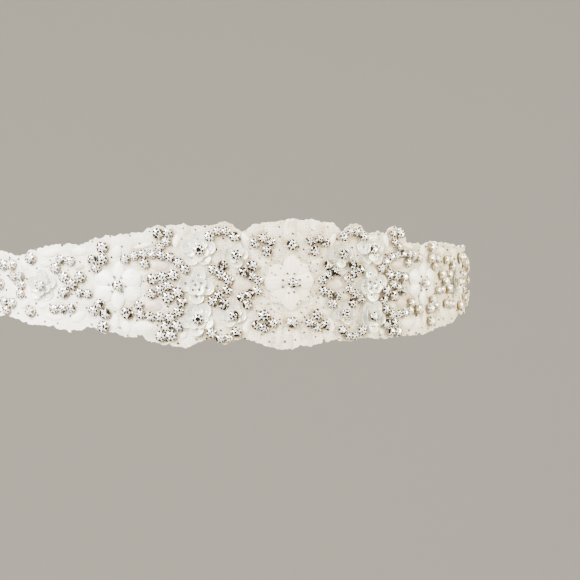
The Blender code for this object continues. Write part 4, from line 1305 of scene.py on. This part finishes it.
# Lead-free crystal over silver foil: glossy facets painted from pure white to near black, as painted
# glints and painted shade. A black one is painted shade of the stone's depth, so it is dull and
# takes no glint from the lamps.
flash = add_node(tree, "ShaderNodeAttribute", attribute_name="flash").outputs["Fac"]
painted_facet_tones = (
    (0.0, "#100e0f"), (0.2, "#423d38"), (0.4, "#a69c8c"), (0.6, "#eeedec"), (0.95, "#ffffff"),
)
finish_surface(shader, add_node(tree, "ShaderNodeValToRGB", {"Fac": flash}, painted_facet_tones))
for socket, in_black, in_white in (("Metallic", 1.0, 0.25), ("Roughness", 0.6, 0.12)):
    blend = {"Value": flash, "From Min": 0.2, "From Max": 0.5, "To Min": in_black, "To Max": in_white}
    link(add_node(tree, "ShaderNodeMapRange", blend), shader.inputs[socket])
cup_metal, tree, shader = new_finish("claw_cup_stamped_brass_silvered", Metallic=1.0, Roughness=0.28)
# Stamped brass with a thin silver plating: pale grey, and brassy where the stamping wears.
finish_surface(shader, clouding(tree, 420.0, (0.35, "#b39a6d"), (0.52, "#dacfbb"), (0.7, "#f4f2ed")))
print("stone finishes:", glass.name, cup_metal.name)

# %% The stone
FACETS = 7
TABLE_RADIUS = 0.8
CROWN_RADIUS = 1.14
DOT_RADIUS = 1.58
GIRDLE_RADIUS = 2.06
HEEL_RADIUS = 1.9
HEEL_HEIGHT = 1.45
DOT_HALF = 0.4
DOT_END_HALF = 0.37
STONE_TOP = 2.4
CROWN_SLOPE = 0.55
# Painted tones: dark for painted shade, grey on the girdle, bright for painted glints.
DARK, GREY, BRIGHT = 0.03, 0.4, 0.95
FACES_PER_FACET = 7


def facet_ring(mesh, radius, height, offset=0.0, count=FACETS):
    """Points round a ring. The offset is a share of the step from one to the next."""
    turns = [math.tau * (i + offset) / count for i in range(count)]
    return [mesh.verts.new((radius * math.cos(turn), radius * math.sin(turn), height)) for turn in turns]


def crown_ring(mesh, radius, offset):
    """A ring of points on the crown, which slopes down from the table to the girdle."""
    return facet_ring(mesh, radius, STONE_TOP - CROWN_SLOPE * (radius - TABLE_RADIUS), offset)


mesh = bmesh.new()
shade = mesh.faces.layers.float.new("flash")
table = crown_ring(mesh, TABLE_RADIUS, 0.0)
stars = crown_ring(mesh, CROWN_RADIUS, 0.5)
dot_starts = crown_ring(mesh, DOT_RADIUS, 0.5 - DOT_HALF)
dot_ends = crown_ring(mesh, DOT_RADIUS, 0.5 + DOT_HALF)
rim_starts = crown_ring(mesh, GIRDLE_RADIUS, 0.5 - DOT_END_HALF)
rim_ends = crown_ring(mesh, GIRDLE_RADIUS, 0.5 + DOT_END_HALF)
heel = facet_ring(mesh, HEEL_RADIUS, HEEL_HEIGHT)
centre = mesh.verts.new((0.0, 0.0, STONE_TOP + 0.02))
for i in range(FACETS):
    k = (i + 1) % FACETS
    for corners, tone in (
        ((centre, table[i], table[k]), BRIGHT),
        ((table[i], stars[i], table[k]), DARK),
        ((stars[i], dot_starts[i], rim_starts[i], rim_ends[i], dot_ends[i]), DARK),
        ((table[k], stars[i], stars[k]), BRIGHT),
        ((stars[i], dot_ends[i], rim_ends[i], rim_starts[k], dot_starts[k], stars[k]), BRIGHT),
        ((rim_starts[i], heel[i], heel[k], rim_ends[i]), GREY),
        ((rim_ends[i], heel[k], rim_starts[k]), GREY),
    ):
        mesh.faces.new(corners)[shade] = tone
mesh.faces.new(heel)
stone_pattern = make_pattern("stone_pattern", mesh)
print("stone:", len(stone_pattern.data.polygons), "facets")

# %% Its claw cup
CUP_RADIUS = 2.1
CUP_SIDES = 12
CUP_RINGS = ((1.2, 0.0), (1.75, 0.35), (2.1, 1.0), (2.1, 1.48), (1.96, 1.48), (1.9, 1.0))
CLAWS = 4
CLAW_THICKNESS = 0.13
Section = namedtuple("Section", "radius height width")
CLAW = (
    Section(2.05, 1.0, 0.5), Section(2.18, 1.7, 0.42), Section(1.95, 2.04, 0.36), Section(1.62, 2.2, 0.24),
)
mesh = bmesh.new()
rings = [facet_ring(mesh, radius, height, count=CUP_SIDES) for radius, height in CUP_RINGS]
join_rings(mesh, rings, capped=True)
up = Vector((0.0, 0.0, 1.0))
for i in range(CLAWS):
    angle = math.tau * (i + 0.5) / CLAWS
    out_way = Vector((math.cos(angle), math.sin(angle), 0.0))
    side_way = Vector((-math.sin(angle), math.cos(angle), 0.0))
    thick = 0.5 * CLAW_THICKNESS * (out_way + up)
    sections = []
    for radius, height, width in CLAW:
        middle = radius * out_way + height * up
        sections.append([
            mesh.verts.new(middle + right * 0.5 * width * side_way + above * thick)
            for right, above in ((-1, -1), (1, -1), (1, 1), (-1, 1))
        ])
    join_rings(mesh, sections, capped=True)
cup_pattern = make_pattern("cup_pattern", mesh)
print("cup:", len(cup_pattern.data.polygons), "faces")

# %% Where the stones are set
FLOWER_STONE_OUT = 1.3
FLOWER_STONE_SIZE = 1.12
SMALLEST, LARGEST = 0.95, 1.24
FILL = 0.53
draw = np.random.default_rng(7)
stone_places = []
for i, (s, z, heading) in enumerate(net_stones):
    lean = draw.normal(0.0, 0.07, 2)
    room = float(nearest(s, z, np.delete(net_stones, i, axis=0)))
    size = min(LARGEST, max(SMALLEST, FILL * room / CUP_RADIUS))
    heading += draw.normal(0.0, 0.3)
    stone_places.append(place_on_cloth(s, z, flutter(s, z), heading, size, lean))
stoned = [flower for flower in flowers if flower.name not in NO_STONE]
for flower in stoned:
    out = flutter(flower.s, flower.z) + FLOWER_STONE_OUT
    lean = draw.normal(0.0, 0.05, 2)
    heading = draw.uniform(0.0, 1.0)
    stone_places.append(place_on_cloth(flower.s, flower.z, out, heading, FLOWER_STONE_SIZE, lean))
rhinestones = set_pattern("rhinestones", stone_pattern, stone_places, glass)
claw_cups = set_pattern("claw_cups", cup_pattern, stone_places, cup_metal, smooth_below=35.0)
widths = 2.0 * CUP_RADIUS * np.array([place.size for place in stone_places])
print("stones from", round(widths.min(), 1), "to", round(widths.max(), 1), "mm")

# %% Each facet's painted shade
# The painted tones of all facets differ a little. A few of the dark ones are painted lit, and a few
# of the bright ones dulled.
DARK_LIT, BRIGHT_DULLED = 0.06, 0.1
DULL_TONE, DULL_SPREAD = 0.38, 0.1
shades = rhinestones.data.attributes["flash"].data
tones = np.zeros(len(shades), np.float32)
shades.foreach_get("value", tones)
dark = tones < 0.5
dulled = draw.uniform(0.0, 1.0, len(tones)) < np.where(dark, DARK_LIT, BRIGHT_DULLED)
tones += np.where(dark, 0.05, -0.03) * np.abs(draw.normal(0.0, 1.0, len(tones)))
tones = np.where(dulled, draw.normal(DULL_TONE, DULL_SPREAD, len(tones)), tones)
by_stone = tones.reshape(len(stone_places), -1)
print("facets dulled or lit:", int(dulled.sum()), "of", len(tones))

# %% Stones painted darker and lighter by place
# Painted shade and light by place: near the middle of each half more of the stones' facets are
# painted dark. Towards the sash's sides they are painted as catching more light, and none of their
# facets is darker than `side_light_floor`.
KITE, FLASH = 3, 4
SHADIEST_AT, SHADIEST_OVER = 26.0, 13.0
DARK_ORDER = (0, 1, 4, 5, 3)
in_flowers = [(flower.s, flower.z) for flower in stoned]
along_belt, up_belt = np.concatenate([net_stones[:, :2], in_flowers]).T
side_light_floor = np.where(
    along_belt < 0.0,
    0.25 * smooth_step(-along_belt, 68.0, 45.0),
    0.36 * smooth_step(along_belt, 48.0, 28.0),
)
shade_by_place = np.exp(-(((np.abs(along_belt) - SHADIEST_AT) / SHADIEST_OVER) ** 2))
shade_by_place *= 1.0 - smooth_step(np.abs(up_belt), 19.0, 3.0)
# `deep` is the share of painted shade, and `pale` the floor of painted light.
for stone, pale, deep in zip(by_stone, side_light_floor, shade_by_place):
    first = draw.integers(FACETS)
    dark_count = draw.choice((1, 2, 3, 4)) + round(1.4 * deep)
    for step in DARK_ORDER[:dark_count]:
        stone[(first + step) % FACETS * FACES_PER_FACET] = DARK
    for facet in range(0, FACETS * FACES_PER_FACET, FACES_PER_FACET):
        stone[facet + KITE] = DARK if draw.random() < 0.25 + 0.5 * deep else BRIGHT
        if draw.random() < 0.03 + 0.16 * deep:
            stone[facet + FLASH] = DARK
    stone[:] = np.maximum(stone, pale)
# Painted shade: on the wearer's right the stones of the sequin flowers have dark tables.
for stone, flower in zip(by_stone[len(net_stones):], stoned):
    if "sequin" in flower.name and flower.side < 0:
        stone[FACES_PER_FACET::FACES_PER_FACET] = DARK
shades.foreach_set("value", np.clip(tones, 0.0, 1.0).astype(np.float32))
print("dark facets:", int(np.sum(tones < 0.2)), "of", len(tones))

# %% [markdown]
# ## Sequins
#
# The cupped sequins are stamped from clear film with a pearl coat. Each has a hole in its middle, a
# flat eye round that, and a cup of shallow steps that show as rings. They overlap like scales in
# two rounds about a flower's middle, and seed beads hold those of the flower that has no stone. One
# sequin is made, with a mark on it that says how far out each point is, and the film's rings are
# drawn from that mark.

# %% Sequin film
film, tree, shader = new_finish(
    "sequin_film_pearl_stamped", Roughness=0.1, Coat_Weight=1.0, Coat_Roughness=0.04, IOR=2.1,
    Thin_Film_Thickness=205.0, Thin_Film_IOR=1.4, Alpha=0.7,
)
# Clear polyester film with a pearl coat: sheer white, glossy and faintly iridescent, so the cloth
# shows through it. Grey lines at its hole, its rim and just past its stamped steps are painted shade,
# so that its rings show, and its steps catch the light.
across_film = add_node(tree, "ShaderNodeAttribute", attribute_name="across").outputs["Fac"]
rings_with_painted_shade = (
    (0.14, "#c9c4b6"), (0.26, "#fffdf7"), (0.36, "#fffdf7"), (0.43, "#b3ad9d"), (0.50, "#fffdf7"),
    (0.62, "#fffdf7"), (0.69, "#bfb9aa"), (0.76, "#fffdf7"), (0.90, "#fffdf7"), (1.0, "#cbc6b9"),
)
finish_surface(shader, add_node(tree, "ShaderNodeValToRGB", {"Fac": across_film}, rings_with_painted_shade))
print("film finish:", film.name)

# %% The sequin
SEQUIN_RADIUS = 2.75
SEQUIN_SIDES = 20
SEQUIN_PROFILE = (
    (0.14, 0.0), (0.34, 0.0), (0.40, 0.05), (0.60, 0.07),
    (0.65, 0.13), (0.83, 0.16), (0.88, 0.22), (1.0, 0.27),
)
FILM_THICKNESS = 0.05
mesh = bmesh.new()
across_layer = mesh.verts.layers.float.new("across")
faces_of_film = []
for depth in (0.0, FILM_THICKNESS):
    rings = []
    for radius, height in SEQUIN_PROFILE:
        top = SEQUIN_RADIUS * height - depth
        rings.append(facet_ring(mesh, SEQUIN_RADIUS * radius, top, count=SEQUIN_SIDES))
        for vert in rings[-1]:
            vert[across_layer] = radius
    join_rings(mesh, rings)
    faces_of_film.append(rings)
for rim in (0, -1):
    join_rings(mesh, [rings[rim] for rings in faces_of_film])
sequin_pattern = make_pattern("sequin_pattern", mesh)
print("sequin:", 2 * SEQUIN_RADIUS, "mm across,", len(sequin_pattern.data.polygons), "faces")

# %% The sequin flowers
# The outer round has one sequin for each petal, and the inner round lies between its neighbours.
SequinCut = namedtuple("SequinCut", "flower outer_at outer_size inner_at inner_size lean")
SEQUIN_CUTS = (
    SequinCut("upper_bud", 3.3, 1.0, 2.3, 0.7, 11.0),
    SequinCut("lower_bud", 3.2, 0.98, 2.3, 0.7, 11.0),
    SequinCut("upper_sequin_flower", 4.7, 1.14, 3.0, 0.86, 9.0),
    SequinCut("middle_sequin_flower", 4.8, 1.26, 2.4, 0.86, 7.0),
    SequinCut("lower_sequin_flower", 4.7, 1.14, 3.0, 0.86, 9.0),
    SequinCut("side_flower", 4.4, 1.06, 2.9, 0.82, 10.0),
)
OUTER_FOOT = 0.5
INNER_FOOT = 1.15
SEQUIN_LAP = 0.14
UNEVEN_LEAN = 11.0
sequin_places = []
bead_places = []


def set_sequin(flower, away, degrees, foot, size, lean):
    """One sequin that leans outwards from its flower's middle; beads hold those with no stone."""
    angle = heading_on_side(flower, degrees)
    s = flower.s + away * math.cos(angle)
    z = flower.z + away * math.sin(angle)
    lean = math.radians(lean + draw.normal(0.0, UNEVEN_LEAN))
    turn = angle + draw.normal(0.0, 0.35)
    tilt = (-math.sin(lean) * math.cos(turn), -math.sin(lean) * math.sin(turn))
    out = foot + flutter(s, z)
    sequin_places.append(place_on_cloth(s, z, out, angle, size * draw.uniform(0.94, 1.06), tilt))
    if flower.name in NO_STONE:
        bead_places.append(place_on_cloth(s, z, out + 0.1, angle, 0.9, tilt))


for flower in flowers:
    for cut in [cut for cut in SEQUIN_CUTS if cut.flower == flower.name]:
        for i, degrees in enumerate(flower.angles):
            foot = OUTER_FOOT + SEQUIN_LAP * (i % 3)
            set_sequin(flower, cut.outer_at, degrees, foot, cut.outer_size, cut.lean)
        for i, degrees in enumerate(flower.angles):
            between = degrees + 180.0 / len(flower.angles)
            foot = INNER_FOOT + SEQUIN_LAP * (i % 2)
            set_sequin(flower, cut.inner_at, between, foot, cut.inner_size, cut.lean + 6.0)
        if flower.name in NO_STONE:
            set_sequin(flower, 0.5, 40.0, INNER_FOOT + 0.5, 0.7, 0.0)
sequins = set_pattern(
    "sequins", sequin_pattern, sequin_places, film, wobble=0.05, seed=3, smooth_below=40.0
)

# %% [markdown]
# ## Seed beads
#
# Tiny silver-lined beads hold the sequins, ring the centre stone and are dotted over the net. A
# seed bead is a short, rounded length of drawn glass tube, so a small ring is enough.

# %% Seed bead glass
bead_glass, tree, shader = new_finish(
    "seed_bead_drawn_glass_silver_lined", Metallic=0.4, Roughness=0.25, Coat_Weight=0.3,
    Coat_Roughness=0.05,
)
# Silver-lined smoky glass: dark grey with bright glints, some beads warmer than others.
finish_surface(shader, clouding(tree, 90.0, (0.38, "#151211"), (0.5, "#38332e"), (0.66, "#80796f")))
print("bead finish:", bead_glass.name)

# %% The beads
BEAD_RADIUS = 0.42
BEAD_TUBE = 0.24
BEAD_LOOPS = 5
PETAL_TOP = 1.15
SPECKS = (
    (0.9, 22.6), (-5.4, 21.2), (8.0, 20.4), (9.9, 9.6), (8.6, 7.9), (-9.8, 8.4), (-10.4, -2.8),
    (10.8, -5.6), (-8.2, -8.4), (-6.6, -8.2), (-10.4, -8.6), (12.0, -23.6), (6.4, -21.6),
    (22.2, -18.2), (5.2, -12.6),
)
BeadRing = namedtuple("BeadRing", "flower count radius first")
BEAD_RINGS = (
    BeadRing("centre_flower", 8, 4.5, 22.5),
    BeadRing("lace_flower", 6, 3.7, 0.0),
    BeadRing("end_flower", 6, 3.4, 0.0),
)
mesh = bmesh.new()
loops = []
for j in range(BEAD_LOOPS):
    turn = math.tau * j / BEAD_LOOPS
    radius = BEAD_RADIUS + BEAD_TUBE * math.cos(turn)
    loops.append(facet_ring(mesh, radius, BEAD_TUBE * (1.2 * math.sin(turn) + 1.0), count=8))
join_rings(mesh, loops + loops[:1])
bead_pattern = make_pattern("bead_pattern", mesh)
for flower in flowers:
    for ring in [ring for ring in BEAD_RINGS if ring.flower == flower.name]:
        for i in range(ring.count):
            angle = math.radians(ring.first + 360.0 * i / ring.count + draw.normal(0.0, 5.0))
            away = ring.radius + draw.normal(0.0, 0.15)
            s, z = flower.s + away * math.cos(angle), flower.z + away * math.sin(angle)
            heading, size = draw.uniform(0.0, 6.28), draw.uniform(0.85, 1.0)
            bead_places.append(place_on_cloth(s, z, PETAL_TOP + flutter(s, z), heading, size))
print("beads on the flowers:", len(bead_places))

# %% Beads dotted over the net
# The first specks are listed. Darts thrown at random add the others, where there is room
# between the stones, leaves and flowers, and closer together between the centre flower's petals.
SPECK_SPACING = 4.4
WEDGE_SPACING = 1.9
SPECK_LIMIT = 190.0
SPECK_ROOM = 2.7
FLOWER_ROOM = 0.8
LEAF_ROOM = 1.25
WEDGE_FROM, WEDGE_TO = 8.5, 17.0
PETALS_REACH = 13.0
DARTS = 5000
specks = list(SPECKS)
darts = draw.uniform((-SPECK_LIMIT, -26.0), (SPECK_LIMIT, 26.0), (DARTS, 2))
clear = nearest(*darts.T, net_stones) > SPECK_ROOM
from_centre = np.hypot(*darts.T)
fits = inside_net(*darts.T) & clear & (from_centre > WEDGE_TO)
for flower in flowers:
    fits &= np.hypot(darts[:, 0] - flower.s, darts[:, 1] - flower.z) > flower.length + FLOWER_ROOM
for leaf in leaves:
    fits &= np.hypot(*leaf_place(*darts.T, leaf)) > LEAF_ROOM
in_wedge = clear & (from_centre > WEDGE_FROM) & (from_centre < WEDGE_TO)
in_wedge &= np.abs(np.sin(2.0 * np.arctan2(darts[:, 1], darts[:, 0]))) > 0.6
for group, spacing in ((fits, SPECK_SPACING), (in_wedge, WEDGE_SPACING)):
    for dart in darts[group]:
        if all(math.dist(dart, speck) > spacing for speck in specks):
            specks.append(tuple(dart))
for s, z in specks:
    away = math.hypot(s, z)
    out = net_face(s, z) if away > PETALS_REACH else FLOWER_FOOT + 0.8 + flutter(s, z)
    size = draw.uniform(0.5, 0.75) if away < WEDGE_TO else draw.uniform(0.6, 0.9)
    bead_places.append(place_on_cloth(s, z, out, draw.uniform(0.0, 6.28), size))
seed_beads = set_pattern(
    "seed_beads", bead_pattern, bead_places, bead_glass, wobble=0.35, seed=5, smooth_below=60.0
)

# %% [markdown]
# ## Hooks, bars and thread
#
# Two bent wire hooks on the ribbon's outer end catch two wire bars on its inner end. Each is one
# length of wire whose two rings are oversewn to the satin. A curve with a round bevel makes wire,
# and its route is the same table of bends that the solid hooks have. Stitches are short thick
# threads, and a node tree sets them along the lines that the needle follows.

# %% Wire, and the bends of a hook and a bar
WIRE = 0.7
LEVEL_STEP = WIRE + 0.3
WIRE_GAP = 0.3
LOWEST_LEVEL = RIBBON_FACE + WIRE_GAP + 0.5 * WIRE
FASTENER_HEIGHTS = (("upper", 6.2), ("lower", -6.2))
LOOP_STEPS = 14
Loop = namedtuple("Loop", "along up radius first_angle last_angle level")
Bend = namedtuple("Bend", "along up level")
HOOK_LOOP = Loop(6.0, 2.1, 1.2, -20.0, 260.0, 2.0)
HOOK_BENDS = (
    Bend(4.6, 0.8, 2.0), Bend(-2.3, 0.8, 2.0), Bend(-2.85, 0.8, 1.65), Bend(-3.0, 0.8, 1.0),
    Bend(-2.85, 0.8, 0.35), Bend(-2.3, 0.8, 0.0), Bend(1.0, 0.8, 0.0), Bend(1.5, 0.45, 0.0),
)
BAR_LOOP = Loop(-0.9, 3.9, 1.1, -70.0, 195.0, 0.0)
BAR_BENDS = (Bend(-2.0, 3.3, 0.0), Bend(-2.0, 2.9, 0.2), Bend(-2.0, 2.4, 0.9), Bend(-2.0, 1.9, 1.0))
nickel, tree, shader = new_finish("hook_wire_nickel_plated", Metallic=1.0, Roughness=0.2)
# Nickel-plated steel wire: warm grey, polished by drawing, with a faint clouding.
finish_surface(shader, clouding(tree, 900.0, (0.35, "#a8a6a1"), (0.55, "#cbc9c4"), (0.7, "#dddbd6")))
print("wire finish:", nickel.name)


# %% Bending the wire
def wire_path(loop, bends):
    """The whole wire as bends: its upper half and, mirrored, its lower half."""
    path = []
    for turn in np.radians(np.linspace(loop.first_angle, loop.last_angle, LOOP_STEPS + 1)):
        along, up = loop.along + loop.radius * math.cos(turn), loop.up + loop.radius * math.sin(turn)
        path.append(Bend(along, up, loop.level))
    path += bends
    return path + [bend._replace(up=-bend.up) for bend in reversed(path)]


def add_wire(name, loop, bends, height):
    """A hook or a bar of bent wire, its middle line at this height on the belt."""
    curve = bpy.data.curves.new(name + "_curve", "CURVE")
    curve.dimensions = "3D"
    curve.bevel_depth = 0.5 * WIRE * MM
    curve.bevel_resolution = 3
    curve.use_fill_caps = True
    places = wrap([
        (HALF_GIRTH + along, height + up, LOWEST_LEVEL + level * LEVEL_STEP)
        for along, up, level in wire_path(loop, bends)
    ])
    spline = curve.splines.new("POLY")
    spline.points.add(len(places) - 1)
    for point, place in zip(spline.points, places):
        point.co = (*place, 1.0)
    mesh = bmesh.new()
    mesh.from_mesh(plain_mesh(bpy.data.objects.new(name + "_curve", curve)))
    return add_piece(name, mesh, nickel, 40.0)


wires = []
for label, height in FASTENER_HEIGHTS:
    wires.append((add_wire("wire_hook_" + label, HOOK_LOOP, HOOK_BENDS, height), "hook_" + label))
    wires.append((add_wire("wire_bar_" + label, BAR_LOOP, BAR_BENDS, height), "bar_" + label))

# %% Thread
THREAD_RADIUS = 0.13
THREAD_SIDES = 6
STITCH_RINGS = ((-0.5, 0.4), (-0.36, 1.0), (0.0, 1.15), (0.36, 1.0), (0.5, 0.4))
STITCH_RISE = 0.105
thread, tree, shader = new_finish("sewing_thread_spun_polyester", Roughness=0.6, Sheen_Weight=0.4)
# Spun polyester thread: ivory and slightly hairy, so it is matt with a soft edge.
finish_surface(shader, clouding(tree, 1500.0, (0.35, "#ddd3c3"), (0.65, "#f2ecdf")))
mesh = bmesh.new()
rings = []
for along, plump in STITCH_RINGS:
    radius = THREAD_RADIUS * plump
    rise = STITCH_RISE * math.cos(math.pi * along)
    turns = [math.tau * k / THREAD_SIDES for k in range(THREAD_SIDES)]
    rings.append([
        mesh.verts.new((along, radius * math.cos(turn), radius * math.sin(turn) + rise)) for turn in turns
    ])
join_rings(mesh, rings, capped=True)
stitch_pattern = make_pattern("stitch_pattern", mesh)
print("stitch:", len(stitch_pattern.data.polygons), "faces")

# %% Hemming the ribbon
HEM_ROWS = (HEM - 1.6, 1.4)
HEM_REACH = 11.6
HEM_STITCH, HEM_GAP = 1.9, 0.5
ON_CLOTH = 0.02
stitch_places = []


def sew(start, finish, out_of, stitch, gap):
    """Stitches end to end along a straight line in the layout."""
    run = np.subtract(finish, start)
    length = np.hypot(*run)
    for middle in np.arange(0.5 * stitch, length, stitch + gap):
        s, z = start + run * middle / length
        stitch_places.append(place_on_cloth(s, z, out_of(s, z), math.atan2(run[1], run[0]), stitch))


def ribbon_outside(s, z):
    return RIBBON_FACE + ribbon_lift(s) - ribbon_dip(s, z) + ON_CLOTH


def net_outside(s, z):
    return net_face(s, z) + ON_CLOTH


for sign in (-1.0, 1.0):
    for from_end in HEM_ROWS:
        s = sign * (END - from_end)
        sew((s, -HEM_REACH), (s, HEM_REACH), ribbon_outside, HEM_STITCH, HEM_GAP)
print("hem stitches:", len(stitch_places))

# %% Tacking the net to the ribbon, and sewing on stones, hooks and bars
TACK_HEIGHT = 11.2
TACK, TACK_GAP, TACK_EVERY = 1.6, 1.0, 7.0
TACK_ROOM = 2.6
INSIDE_STITCH = 2.2
LOOP_STITCH = 1.7
LOOP_TURNS = (30.0, 80.0, 130.0, 185.0, 235.0)
for z in (-TACK_HEIGHT, TACK_HEIGHT):
    for s in np.arange(-196.0, 196.1, TACK_EVERY):
        if inside_net(s, z) and nearest(s, z, net_stones) > TACK_ROOM:
            sew((s - 0.5 * TACK, z), (s + 0.5 * TACK, z), net_outside, TACK, TACK_GAP)
for s, z, heading in net_stones:
    if abs(z) > 0.5 * RIBBON_WIDTH + 0.8:
        out = flutter(s, z) + REST - EDGE_THICKNESS - ON_CLOTH
        for turn in (0.6, -0.8):
            place = place_on_cloth(s, z, out, heading + turn, INSIDE_STITCH)
            stitch_places.append(place._replace(outward=-place.outward))
for _, height in FASTENER_HEIGHTS:
    for sign in (1.0, -1.0):
        for angle in np.radians(LOOP_TURNS):
            for loop in (HOOK_LOOP, BAR_LOOP):
                s = HALF_GIRTH + loop.along + loop.radius * math.cos(angle)
                z = height + sign * (loop.up + loop.radius * math.sin(angle))
                out = LOWEST_LEVEL + loop.level * LEVEL_STEP + 0.28
                stitch_places.append(place_on_cloth(s, z, out, sign * angle, LOOP_STITCH))
stitches = set_pattern(
    "stitches", stitch_pattern, stitch_places, thread, wobble=0.12, seed=9, smooth_below=60.0
)

# %% [markdown]
# ## Handing the pieces over
#
# Each finished piece rides with the sash's one body, and the plain solids that it stands for are
# hidden.

# %% Riding and replacing
def solids_of(*names):
    """The solids of the flowers with these names, on both sides."""
    return [flower.solid for name in names for flower in flowers if flower.name == name]


for piece, slot, solids in (
    (ribbon, "satin", ["ribbon"]),
    (net, "net", ["net_applique"]),
    (stitched_leaves, "satin", []),
    (blush_leaves, "satin", []),
    (centre_petals, "organza", solids_of("centre_flower")),
    (lace_petals, "organza", solids_of("lace_flower", "end_flower")),
    (sequins, "sequin", solids_of(*[cut.flower for cut in SEQUIN_CUTS])),
    (rhinestones, "rhinestone", []),
    (claw_cups, "claw_cup", []),
    (seed_beads, "seed_bead", []),
    (stitches, "thread", []),
    *[(wire, "nickel", [solid]) for wire, solid in wires],
):
    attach(piece, "root")
    if solids:
        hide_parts(*solids)
